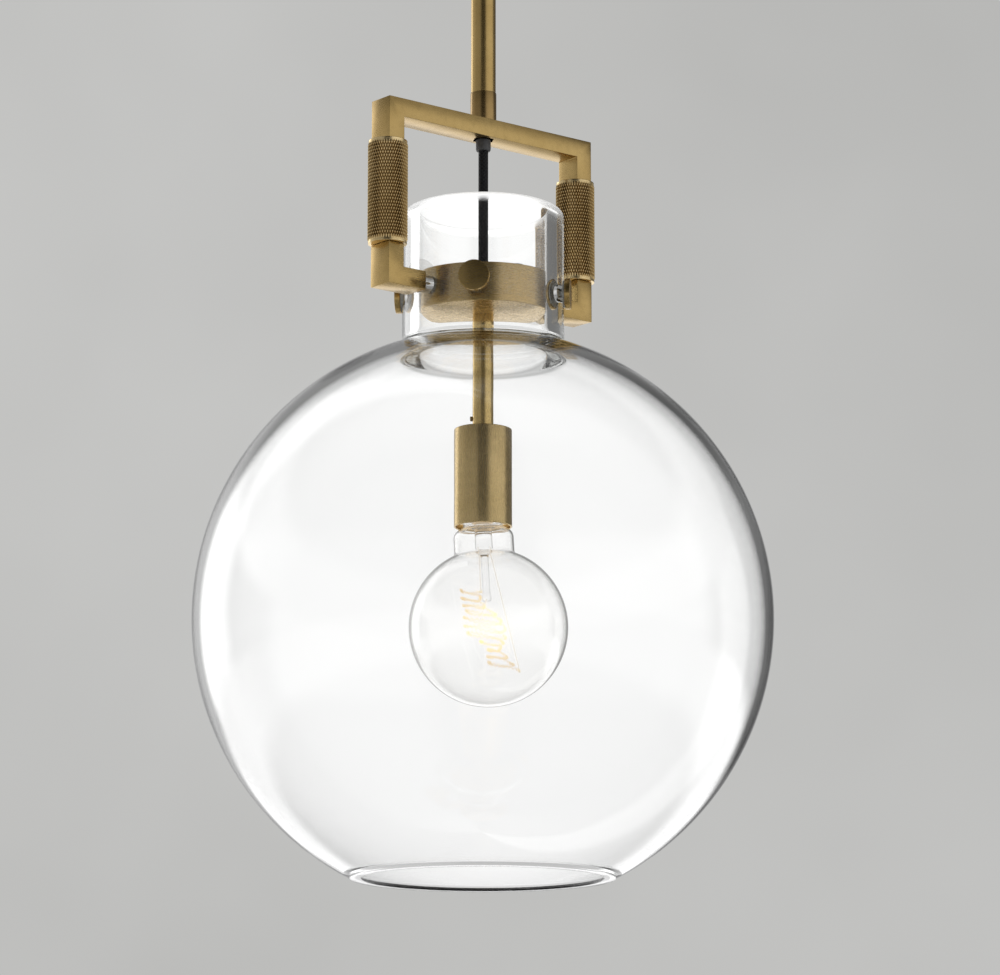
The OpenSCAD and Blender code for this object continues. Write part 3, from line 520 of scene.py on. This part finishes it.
def tangent_fillet(neck, radius, fillet, centre_z=0.0):
    """The centre and the tangent angle of an arc between an upright line and a circle on the axis."""
    x = neck + fillet
    z = centre_z + math.sqrt((radius + fillet) ** 2 - x * x)
    return (x, z), math.degrees(math.atan2(z - centre_z, x))


def globe_outline():
    outer_centre, outer_angle = tangent_fillet(NECK_R, GLOBE_R, 7 * MM)
    inner_centre, inner_angle = tangent_fillet(BORE_R, HOLLOW_R, 6 * MM, -HOLLOW_SINK)
    rim_angle = -math.degrees(math.asin(RIM_DROP / GLOBE_R))
    hollow_rim_angle = -math.degrees(math.asin((RIM_DROP - HOLLOW_SINK) / HOLLOW_R))
    rim_outer = math.sqrt(GLOBE_R ** 2 - RIM_DROP ** 2)
    rim_inner = math.sqrt(HOLLOW_R ** 2 - (RIM_DROP - HOLLOW_SINK) ** 2)
    lip = (NECK_R - BORE_R) / 2
    neck_low, neck_high = outer_centre[1], NECK_TOP - lip
    outside = arc((0, 0), GLOBE_R, rim_angle, outer_angle, 96)
    shoulder = arc(outer_centre, 7 * MM, 180 + outer_angle, 180, 10)
    neck_out = [(NECK_R, neck_low + (neck_high - neck_low) * i / 48) for i in range(1, 48)]
    top = arc((NECK_R - lip, neck_high), lip, 0, 180, 16)
    neck_in = [(BORE_R, neck_high + (inner_centre[1] - neck_high) * i / 48) for i in range(1, 48)]
    throat = arc(inner_centre, 6 * MM, 180, 180 + inner_angle, 12)
    inside = arc((0, -HOLLOW_SINK), HOLLOW_R, inner_angle, hollow_rim_angle, 96)
    rim = (arc((rim_inner + RIM_EDGE, -RIM_DROP), RIM_EDGE, 180, 270, 6)
           + arc((rim_outer - RIM_EDGE, -RIM_DROP), RIM_EDGE, 270, 360, 6))
    loop = outside + shoulder[1:] + neck_out + top + neck_in + throat + inside[1:] + rim[1:-1]
    return [(r, z + GLOBE_Z) for r, z in loop]


def bolt_holes():
    """Cutters for the six holes that the arm bolts and the disc screws pass through."""
    bm = bmesh.new()
    for angle in (0, 45, 135, 180, 225, 315):
        place = (Matrix.Rotation(math.radians(angle), 4, "Z") @ Matrix.Translation((45 * MM, 0, ARM_Z))
                 @ Matrix.Rotation(math.pi / 2, 4, "Y"))
        bmesh.ops.create_cone(bm, cap_ends=True, segments=48, radius1=5.52 * MM, radius2=5.52 * MM,
                              depth=24 * MM, matrix=place)
    return bm


globe = piece("glass_globe_blown", lathe(globe_outline(), 192, closed=True), "pendant", GLOBE_GLASS,
              ("glass_globe",), sharp=60)
cutter_mesh = bpy.data.meshes.new("hole cutters")
holes = bolt_holes()
holes.to_mesh(cutter_mesh)
holes.free()
cutter = bpy.data.objects.new("hole cutters", cutter_mesh)
scene.collection.objects.link(cutter)
drill = globe.modifiers.new("holes", "BOOLEAN")
drill.operation = "DIFFERENCE"
drill.solver = "EXACT"
drill.object = cutter
bpy.context.view_layer.update()
cut_mesh = bpy.data.meshes.new_from_object(globe.evaluated_get(bpy.context.evaluated_depsgraph_get()))
globe.modifiers.remove(drill)
globe.data = cut_mesh
bpy.data.objects.remove(cutter)
cut_mesh.shade_smooth()
cut_mesh.set_sharp_from_angle(angle=math.radians(60))
print("globe with holes:", len(cut_mesh.polygons), "faces")

# %% [markdown]
# ## Stem and coupler
# The stem is a drawn tube and the coupler a short turned sleeve on the bar. Both are spun from outlines
# with softly rounded edges, because even a sharp machined edge catches a thin line of light.

# %% Stem, coupler and socket rod


def tube_outline(node, wall):
    a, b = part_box(node)
    r = (b[0] - a[0]) / 2
    inner = r - wall
    return [(inner, a[2]), (r, a[2]), (r, b[2]), (inner, b[2]), (inner, a[2])]


turned("stem", "stem_tube", tube_outline("stem_tube", 1.6 * MM), BRASS_UP, soft=0.3)
turned("coupler", "stem_coupler", tube_outline("stem_coupler", 3.8 * MM), BRASS_BROWN, soft=0.4)
turned("rod", "socket_rod", tube_outline("socket_rod", 2.2 * MM), BRASS_PALE_BRIGHTENED, soft=0.3)

# %% [markdown]
# ## Socket cup
# The cup is a plain deep-drawn sleeve with a flat roof. Its lower edge is rolled, so it ends in a tiny
# bead where it meets the bulb's neck.

# %% Socket cup
cup_low, cup_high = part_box("socket_cup")
CUP_ROOF = 2 * MM
CUP_R = (cup_high[0] - cup_low[0]) / 2
CUP_WALL = 1.1 * MM
rod_low, rod_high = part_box("socket_rod")
ROD_R = (rod_high[0] - rod_low[0]) / 2
CUP_BORE = ROD_R + 0.02 * MM
cup_outline = [(CUP_BORE, cup_high[2]), (CUP_R, cup_high[2]), (CUP_R, cup_low[2]),
               (CUP_R - CUP_WALL, cup_low[2]), (CUP_R - CUP_WALL, cup_high[2] - CUP_ROOF),
               (CUP_BORE, cup_high[2] - CUP_ROOF), (CUP_BORE, cup_high[2])]
turned("socket_sleeve", "socket_cup", cup_outline, BRASS_SOFT_BRIGHTENED, soft=0.5)

# %% [markdown]
# ## Frame bars
# The frame is made of rectangular bar with crisp but not razor-sharp edges. Each bar's outline is drawn
# in the frame's plane and extruded through its depth, and a small two-step bevel runs along every edge.
# The top bar turns down at both ends.

# %% Bars
BAR_T = 11.5 * MM
BAR_W = 18 * MM
EDGE = 0.45 * MM
TENON_R = 5 * MM


def extruded(outline, depth, edge=EDGE):
    """A flat outline in the XZ plane, extruded along Y about its middle, with bevelled edges."""
    bm = bmesh.new()
    verts = [bm.verts.new((x, -depth / 2, z)) for x, z in outline]
    face = bm.faces.new(verts)
    grown = bmesh.ops.extrude_face_region(bm, geom=[face])["geom"]
    bmesh.ops.translate(bm, verts=[g for g in grown if isinstance(g, bmesh.types.BMVert)], vec=(0, depth, 0))
    bmesh.ops.recalc_face_normals(bm, faces=bm.faces)
    bmesh.ops.bevel(bm, geom=bm.edges[:], offset=edge, segments=2, affect="EDGES", profile=0.5, material=-1,
                    clamp_overlap=True)
    return bm


def tenon(bm, x, z_from, z_to):
    """The round tenon that a grip turns on."""
    bmesh.ops.create_cone(bm, cap_ends=True, segments=48, radius1=TENON_R, radius2=TENON_R, depth=z_to - z_from,
                          matrix=Matrix.Translation((x, 0, (z_from + z_to) / 2)))
    return bm


bar_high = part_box("top_bar")[1]
POST_X = bar_high[0] - BAR_T / 2
GRIP_LOW, GRIP_HIGH = low("left_grip")[2], high("left_grip")[2]
GRIP_Z = (GRIP_LOW + GRIP_HIGH) / 2
FACE_GAP = 0.15 * MM
leg_end = GRIP_HIGH + FACE_GAP
half = bar_high[0]
bar_top = bar_high[2]
top_outline = [(-half, bar_top), (-half, leg_end), (-half + BAR_T, leg_end), (-half + BAR_T, bar_top - BAR_T),
               (half - BAR_T, bar_top - BAR_T), (half - BAR_T, leg_end), (half, leg_end), (half, bar_top)]
top = extruded(top_outline, BAR_W)
for side in (-1, 1):
    tenon(top, side * POST_X, GRIP_Z + FACE_GAP / 2, leg_end + EDGE)
piece("frame_top_bar", top, "pendant", BRASS_ALONG, ("top_bar",), sharp=30)

arm_bottom = low("left_arm")[2]
for side, node in ((-1, "left_arm"), (1, "right_arm")):
    a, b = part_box(node)
    outer, inner = (a[0], b[0]) if side < 0 else (b[0], a[0])
    leg_inner = outer - side * BAR_T
    outline = [(outer, arm_bottom), (outer, GRIP_LOW - FACE_GAP), (leg_inner, GRIP_LOW - FACE_GAP),
               (leg_inner, arm_bottom + BAR_T), (inner, arm_bottom + BAR_T), (inner, arm_bottom)]
    arm = extruded(outline, BAR_W)
    tenon(arm, side * POST_X, GRIP_LOW - FACE_GAP - EDGE, GRIP_Z - FACE_GAP / 2)
    piece(node + "_bar", arm, "pendant", BRASS_ALONG, (node,), sharp=30)

# %% [markdown]
# ## Knurled grips
# A diamond knurl is two sets of helical grooves that cross. On a grid wrapped round the cylinder, every
# second point is the tip of a diamond and the points between are groove crossings. So the sleeve starts
# as a cylinder of rings, alternate points are pushed out, each square is split along its groove, and a
# small vertex bevel flattens the tips, as wear does.

# %% Grips
GRIP_R = (high("left_grip")[0] - low("left_grip")[0]) / 2
KNURL_DEPTH = 0.55 * MM
KNURL_STARTS = 48
KNURL_ROWS = 30
LIP = 1.3 * MM
LIP_STEP = 0.45 * MM
TIP_BEVEL = 0.24 * MM
GRIP_BORE = 5.1 * MM


def knurled_sleeve(x):
    knurl_low, knurl_high = GRIP_LOW + LIP, GRIP_HIGH - LIP
    around = KNURL_STARTS * 2
    core = GRIP_R - KNURL_DEPTH
    bm = bmesh.new()
    verts = [bm.verts.new((core, 0, knurl_low + (knurl_high - knurl_low) * j / KNURL_ROWS))
             for j in range(KNURL_ROWS + 1)]
    edges = [bm.edges.new(pair) for pair in zip(verts, verts[1:])]
    bmesh.ops.spin(bm, geom=verts + edges, cent=(0, 0, 0), axis=(0, 0, 1), angle=2 * math.pi, steps=around,
                   use_merge=True)
    bmesh.ops.remove_doubles(bm, verts=bm.verts, dist=1e-7)
    tips = set()
    for v in bm.verts:
        i = round(math.atan2(v.co.y, v.co.x) / (2 * math.pi) * around) % around
        j = round((v.co.z - knurl_low) / (knurl_high - knurl_low) * KNURL_ROWS)
        if (i + j) % 2 == 0 and 0 < j < KNURL_ROWS:
            v.co.xy *= GRIP_R / core
            tips.add(v)
    for face in bm.faces[:]:
        groove = [v for v in face.verts if v not in tips]
        if len(groove) == 2:
            bmesh.ops.connect_verts(bm, verts=groove)
        else:
            ends = [v for v in groove if any(e.other_vert(v) in tips for e in v.link_edges)]
            bmesh.ops.connect_verts(bm, verts=ends[:2])
    bmesh.ops.bevel(bm, geom=list(tips), offset=TIP_BEVEL, segments=1, affect="VERTICES", profile=0.5,
                    material=-1, clamp_overlap=True)
    lip_r = GRIP_R - LIP_STEP
    for z_in, z_out in ((knurl_low, GRIP_LOW), (knurl_high, GRIP_HIGH)):
        corners = [(core - 0.2 * MM, z_in), (lip_r, z_in), (lip_r, z_out), (GRIP_BORE, z_out)]
        outline = rounded(corners, 0.35 * MM)
        join(bm, lathe(outline, 96))
    join(bm, lathe([(GRIP_BORE, GRIP_LOW), (GRIP_BORE, GRIP_HIGH)], 48))
    bmesh.ops.translate(bm, verts=bm.verts, vec=(x, 0, 0))
    bmesh.ops.recalc_face_normals(bm, faces=bm.faces)
    return bm


for side, node, body in ((-1, "left_grip", "left_sleeve"), (1, "right_grip", "right_sleeve")):
    grip = piece(node + "_knurled", knurled_sleeve(side * POST_X), body, KNURL, (node,),
                 sharp=8)
    # The 'tip' attribute is the mask of the painted groove shade: 0 deep in a groove, 1 on a tip, 0.9 on the
    # plain lips.
    tip = grip.data.attributes.new("tip", "FLOAT", "POINT")
    for i, v in enumerate(grip.data.vertices):
        reach = math.hypot(v.co.x - side * POST_X, v.co.y)
        in_knurl = GRIP_LOW + LIP * 1.1 < v.co.z < GRIP_HIGH - LIP * 1.1
        tip.data[i].value = (reach - GRIP_R + KNURL_DEPTH) / KNURL_DEPTH if in_knurl else 0.9

# %% [markdown]
# ## The hub
# The hub is a turned cup with a flat floor that closes the neck. Its edges are softly broken.

# %% Hub
hub_low, hub_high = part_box("hub_cup")
HUB_R = (hub_high[0] - hub_low[0]) / 2
HUB_WALL = 3 * MM
HUB_FLOOR = 4 * MM
hub_outline = [(5.02 * MM, hub_low[2]), (HUB_R, hub_low[2]), (HUB_R, hub_high[2]),
               (HUB_R - 2 * MM, hub_high[2]), (HUB_R - 2 * MM, hub_high[2] - 1.6 * MM),
               (HUB_R - HUB_WALL, hub_high[2] - 1.6 * MM), (HUB_R - HUB_WALL, hub_low[2] + HUB_FLOOR),
               (5.02 * MM, hub_low[2] + HUB_FLOOR), (5.02 * MM, hub_low[2])]
turned("hub", "hub_cup", hub_outline, BRASS_ROUND, soft=0.5, steps=128)

# %% [markdown]
# ## Disc screws, pads and the set screw
# Each disc screw is a flat turned head on a shank, and each pad is a clear disc whose back follows the
# round neck. They lie on their sides, so they are spun upright at the origin and then turned into place.

# %% Discs and pads
DISC_FACE = NECK_R + 0.8 * MM


def sideways(angle, distance, z):
    """Turns an upright piece so that its top points away from the axis at an angle."""
    return (Matrix.Rotation(math.radians(angle), 4, "Z") @ Matrix.Translation((distance, 0, z))
            @ Matrix.Rotation(math.pi / 2, 4, "Y"))


def disc_screw(angle):
    r, t, shank = 9.4 * MM, 3.4 * MM, 2.5 * MM
    reach = DISC_FACE - 34.3 * MM
    outline = [(0, t), (r, t), (r, 0), (shank, 0), (shank, -reach), (0, -reach)]
    bm = lathe(rounded(outline, 0.35 * MM), 64)
    bmesh.ops.transform(bm, matrix=sideways(angle, DISC_FACE, ARM_Z), verts=bm.verts)
    return bm


discs = disc_screw(45)
for angle in (135, 225, 315):
    join(discs, disc_screw(angle))
piece("disc_screws_turned", discs, "pendant", BRASS_ROUND, ("disc_screws",), sharp=30)

PAD_R = 15 * MM
PAD_T = 1.8 * MM


def pad(angle):
    """A clear round pad: a disc whose inner face is bent to follow the neck."""
    outline = [(3.2 * MM, PAD_T), (PAD_R, PAD_T), (PAD_R, 0), (3.2 * MM, 0), (3.2 * MM, PAD_T)]
    bm = lathe(rounded(outline, 0.5 * MM), 64)
    bmesh.ops.transform(bm, matrix=sideways(angle, NECK_R, ARM_Z), verts=bm.verts)
    back = Matrix.Rotation(math.radians(-angle), 4, "Z")
    forth = back.inverted()
    for v in bm.verts:
        local = back @ v.co
        share = 1 - (local.x - NECK_R) / PAD_T
        local.x -= share * (NECK_R - math.sqrt(NECK_R ** 2 - local.y ** 2)) - 0.03 * MM * share
        v.co = forth @ local
    return bm


piece("arm_pads_clear", join(pad(0), pad(180)), "pendant", PAD_CLEAR, ("arm_pads",), sharp=30)

screw_low, screw_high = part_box("rod_set_screw")
SCREW_Z = (screw_low[2] + screw_high[2]) / 2
SCREW_R = (screw_high[2] - screw_low[2]) / 2
SCREW_SEAT = ROD_R - 0.5 * MM
thread_r = SCREW_R - 0.4 * MM
bm = lathe(rounded([(0, 2 * MM), (SCREW_R, 2 * MM), (SCREW_R, 0), (thread_r, 0), (thread_r, -1.6 * MM),
                    (0, -1.6 * MM)], 0.25 * MM), 32)
bmesh.ops.transform(bm, matrix=sideways(135, SCREW_SEAT, SCREW_Z), verts=bm.verts)
piece("set_screw", bm, "pendant", BRASS_ROUND, ("rod_set_screw",))

# %% [markdown]
# ## Cord and strain relief
# A black sleeved cord runs down from the stem into the hub. It is pulled straight by its own length
# between the two, so a slim cylinder with a fine woven relief is enough. The strain relief under the bar
# is a short moulded collar that narrows a little towards the cord.

# %% Cord and strain relief
cord_low, cord_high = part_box("cord")
CORD_R = (cord_high[0] - cord_low[0]) / 2


def braided(name):
    made, tree, skin = material(name)
    coords = wire(tree, "ShaderNodeTexCoord").outputs["Object"]
    split = wire(tree, "ShaderNodeSeparateXYZ", {"Vector": coords})
    angle = maths(tree, "ARCTAN2", split.outputs["Y"], split.outputs["X"])
    rise = maths(tree, "MULTIPLY", split.outputs["Z"], 2600.0)
    spin_one = maths(tree, "SINE", maths(tree, "ADD", maths(tree, "MULTIPLY", angle, 8.0), rise))
    spin_two = maths(tree, "SINE", maths(tree, "SUBTRACT", maths(tree, "MULTIPLY", angle, 8.0), rise))
    weave = maths(tree, "MAXIMUM", spin_one, spin_two)
    tree.links.new(ramp(tree, weave, [(0.0, (0.004, 0.004, 0.005)), (1.0, (0.016, 0.016, 0.019))], "LINEAR"),
                   skin.inputs["Base Color"])
    skin.inputs["Roughness"].default_value = 0.6
    skin.inputs["Specular IOR Level"].default_value = 0.3
    relief = wire(tree, "ShaderNodeBump", {"Height": weave, "Strength": 0.5, "Distance": 0.0003})
    tree.links.new(relief.outputs[0], skin.inputs["Normal"])
    return made


BRAID = braided("black braided sleeve")
cord_outline = [(0, cord_low[2]), (CORD_R, cord_low[2]), (CORD_R, cord_high[2]), (0, cord_high[2])]
turned("cord_sleeved", "cord", cord_outline, BRAID, slot="black_cable", soft=0.3, steps=48)
relief_low, relief_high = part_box("strain_relief")
RELIEF_R = (relief_high[0] - relief_low[0]) / 2
relief_outline = [(CORD_R, relief_low[2]), (RELIEF_R - 0.3 * MM, relief_low[2]),
                  (RELIEF_R, relief_low[2] + 1.5 * MM), (RELIEF_R, relief_high[2]), (CORD_R, relief_high[2]),
                  (CORD_R, relief_low[2])]
turned("strain_relief_moulded", "strain_relief", relief_outline, RUBBER, slot="black_cable", soft=0.5, steps=64)

# %% [markdown]
# ## Canopy and its nuts
# The canopy is a shallow spun dish. Its nuts are knurled straight, so fine ribs run along them: the
# outline's circle alternates between two radii.

# %% Canopy and nuts
canopy_low, canopy_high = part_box("canopy")
CANOPY_R = (canopy_high[0] - canopy_low[0]) / 2
CANOPY_WALL = 1.5 * MM
seat_r = 17.1 * MM
floor_z = canopy_low[2]
canopy_outline = ([(seat_r, floor_z + CANOPY_WALL), (seat_r, floor_z)]
                  + arc((CANOPY_R - 5 * MM, floor_z + 5 * MM), 5 * MM, -90, 0, 10)
                  + [(CANOPY_R, canopy_high[2]), (CANOPY_R - CANOPY_WALL, canopy_high[2])]
                  + arc((CANOPY_R - 5 * MM, floor_z + 5 * MM), 3.5 * MM, 0, -90, 10)
                  + [(seat_r, floor_z + CANOPY_WALL)])
bm = lathe(canopy_outline, 128)
piece("canopy_spun", bm, "ceiling_mount", BRASS_ROUND, ("canopy",))


NUT_R = 6 * MM
NUT_BORE = 2.3 * MM
NUT_ROOF = 3 * MM
NUT_CHAMFER = 0.8 * MM


def ribbed_nut(x):
    a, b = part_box("cap_nut_left")
    r = NUT_R
    teeth = 36
    rim = [(0, a[2]), (r - NUT_CHAMFER, a[2]), (r, a[2] + NUT_CHAMFER), (r, b[2]), (NUT_BORE, b[2]),
           (NUT_BORE, a[2] + NUT_ROOF), (0, a[2] + NUT_ROOF)]
    bm = lathe(rounded(rim, 0.3 * MM, 2), teeth * 2)
    for v in bm.verts:
        i = round(math.atan2(v.co.y, v.co.x) / math.pi * teeth)
        if i % 2 and v.co.xy.length > r * 0.97:
            v.co.xy *= 0.965
    bmesh.ops.translate(bm, verts=bm.verts, vec=(x, 0, 0))
    return bm


for node, body in (("cap_nut_left", "left_nut"), ("cap_nut_right", "right_nut")):
    piece(node + "_ribbed", ribbed_nut(middle(node)[0]), body, BRASS_UP, (node,), sharp=25)

# %% [markdown]
# ## The bulb
# The bulb is a thin glass balloon on a screw cap. Its outline is a circle, a fillet and a straight neck
# that rolls in towards the cap; a second outline just inside it makes the wall. The cap's thread is a
# real wave in its outline, and the glass mount and the filament stand inside.

# %% Bulb envelope
CUP_BOTTOM = cup_low[2]
BULB_R = 48 * MM
BULB_Z = CUP_BOTTOM - 109.6 * MM + BULB_R
BULB_WALL = 0.9 * MM
BULB_NECK = 18.2 * MM
TAIL_R = 12.1 * MM
BULB_LEAN = math.radians(3.1)
LEAN_ANGLE = math.radians(-39)
pivot = Matrix.Translation((0, 0, CUP_BOTTOM))
turn_to_lean = Matrix.Rotation(LEAN_ANGLE, 4, "Z")
tilt = Matrix.Rotation(-BULB_LEAN, 4, "Y")
LEANING = pivot @ turn_to_lean @ tilt @ turn_to_lean.inverted() @ pivot.inverted()


def bulb_outline(inset):
    fillet = 3 * MM + inset
    radius, neck = BULB_R - inset, BULB_NECK - inset
    centre, angle = tangent_fillet(neck, radius, fillet)
    shoulder = CUP_BOTTOM - 1.2 * MM - BULB_Z
    roll = 5.6 * MM
    outline = arc((0, 0), radius, -90, angle, 72)
    outline += arc(centre, fillet, 180 + angle, 180, 10)[1:]
    outline += arc((neck - roll + inset, shoulder - roll), roll - inset, 0, 84, 10)
    outline += [(TAIL_R - inset, shoulder + 1.0 * MM - inset), (TAIL_R - inset, shoulder + 7 * MM - inset * 2),
                (0, shoulder + 7 * MM - inset * 2)]
    return [(r, z + BULB_Z) for r, z in outline]


balloon = lathe(bulb_outline(0), 128)
inner_skin = lathe(bulb_outline(BULB_WALL), 128)
bmesh.ops.reverse_faces(inner_skin, faces=inner_skin.faces)
join(balloon, inner_skin)
bmesh.ops.transform(balloon, matrix=LEANING, verts=balloon.verts)
piece("bulb_balloon", balloon, "bulb", BULB_GLASS, ("bulb_envelope",), sharp=60)

# %% Bulb cap
cap_low, cap_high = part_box("bulb_cap")
CAP_R = (cap_high[0] - cap_low[0]) / 2
THREADS = 6
THREAD_DEPTH = 0.45 * MM
thread_points = 8 * THREADS
cap_outline = [(CAP_R - THREAD_DEPTH - THREAD_DEPTH * math.cos(2 * math.pi * THREADS * i / thread_points),
                cap_low[2] + (cap_high[2] - cap_low[2]) * i / thread_points) for i in range(thread_points + 1)]
inner_wall = [(r - THREAD_DEPTH, z) for r, z in reversed(cap_outline)]
piece("bulb_cap_rolled", lathe(cap_outline + inner_wall, 64, closed=True), "bulb", CAP_METAL,
      ("bulb_cap",))

# %% Glass mount
MOUNT_R = 5.2 * MM
STEM_R = 2.2 * MM
BEAD_R = 2.8 * MM
MOUNT_FLARE = 10.6 * MM
mount_end, pinch, mount_top = BULB_Z + 16 * MM, BULB_Z + 46 * MM, CUP_BOTTOM + 5 * MM
mount_outline = [(0, mount_end), (STEM_R, mount_end), (BEAD_R, mount_end + 1.4 * MM),
                 (BEAD_R, mount_end + 3 * MM), (STEM_R, mount_end + 5 * MM), (STEM_R, pinch - 2 * MM),
                 (MOUNT_R, pinch + 1 * MM),
                 (MOUNT_R, mount_top - 6 * MM), (MOUNT_FLARE, mount_top), (0, mount_top)]
bm = lathe(rounded(mount_outline, 1.0 * MM), 64)
bmesh.ops.transform(bm, matrix=LEANING, verts=bm.verts)
piece("bulb_mount_glass", bm, "bulb", MOUNT_GLASS, ("bulb_mount",))

# %% [markdown]
# ## The filament
# One long wire hangs in wide loops around a line that leans from the upper left to the lower right. Two
# short tables say how far the loops sit off the bulb's axis and how wide they are on the way down. The
# wire glows most at the bulb's middle, so the strength of its light follows the distance from there.

# %% Filament
GLOW, glow_tree, glow_skin = material("glowing wire")
glow_skin.inputs["Base Color"].default_value = (0.75, 0.55, 0.28, 1)
glow_skin.inputs["Roughness"].default_value = 0.5
glow_skin.inputs["Emission Strength"].default_value = 1.0
GLOW_REACH = 30 * MM
glow_centre = LEANING @ Vector((0, 0, BULB_Z + 1 * MM))
glow_coords = wire(glow_tree, "ShaderNodeTexCoord").outputs["Object"]
from_centre = wire(glow_tree, "ShaderNodeVectorMath", {0: glow_coords, 1: glow_centre}, operation="DISTANCE")
reach = maths(glow_tree, "DIVIDE", from_centre.outputs["Value"], GLOW_REACH)
shine = ramp(glow_tree, reach, [(0.1, (1.5, 1.3, 0.55)), (0.38, (1.0, 0.82, 0.38)), (0.6, (0.72, 0.55, 0.30)),
                                (1.0, (0.60, 0.45, 0.28))], "LINEAR")
glow_tree.links.new(shine, glow_skin.inputs["Emission Color"])

FILAMENT_TOP, FILAMENT_END = BULB_Z + 24 * MM, BULB_Z - 26 * MM
FILAMENT_LOOPS = 11
FILAMENT_SLANT = 0.25
WIRE_R = 0.16 * MM
COILS_IN_LOOP = 23
COIL_R = 0.7 * MM
WANDER = 0.5 * MM
OFFSET = [(0, -9.6), (0.16, -9.2), (0.3, -3), (0.6, -1.5), (0.72, 2.5), (1, 8)]
WIDTH = [(0, 6.2), (0.16, 5.8), (0.42, 12.5), (0.6, 11), (0.74, 3.5), (1, 9.5)]


def between(t, table):
    """Reads a table of pairs at t, with straight lines between its rows."""
    for (t0, v0), (t1, v1) in zip(table, table[1:]):
        if t <= t1:
            return (v0 + (v1 - v0) * (t - t0) / (t1 - t0)) * MM
    return table[-1][1] * MM


def filament_point(t):
    """A point of the wire: wide loops, and on them a fine coil with a small wander."""
    loop = 2 * math.pi * FILAMENT_LOOPS * t
    fine = loop * COILS_IN_LOOP
    wide = between(t, WIDTH) + COIL_R * math.sin(fine) + WANDER * math.sin(loop * 3.7)
    along = between(t, OFFSET) + wide * math.cos(loop)
    across = wide * math.sin(loop)
    drop = FILAMENT_SLANT * wide * math.cos(loop) - COIL_R * math.cos(fine) - WANDER * math.sin(loop * 2.3)
    return LEANING @ Vector((along * math.cos(LEAN_ANGLE) - across * math.sin(LEAN_ANGLE),
                             along * math.sin(LEAN_ANGLE) + across * math.cos(LEAN_ANGLE),
                             FILAMENT_TOP + (FILAMENT_END - FILAMENT_TOP) * t - drop))


WIRE_STEPS = FILAMENT_LOOPS * COILS_IN_LOOP * 8
wire_curve = bpy.data.curves.new("filament_wire", "CURVE")
wire_curve.dimensions = "3D"
wire_curve.bevel_depth = WIRE_R
wire_curve.bevel_resolution = 0
wire_curve.use_fill_caps = True
spline = wire_curve.splines.new("POLY")
spline.points.add(WIRE_STEPS)
for i, point in enumerate(spline.points):
    point.co = (*filament_point(i / WIRE_STEPS), 1)
wire_curve.materials.append(GLOW)
filament = bpy.data.objects.new("filament_wire", wire_curve)
scene.collection.objects.link(filament)
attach(filament, "bulb")
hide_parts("filament")
print("filament wire has", WIRE_STEPS, "steps")
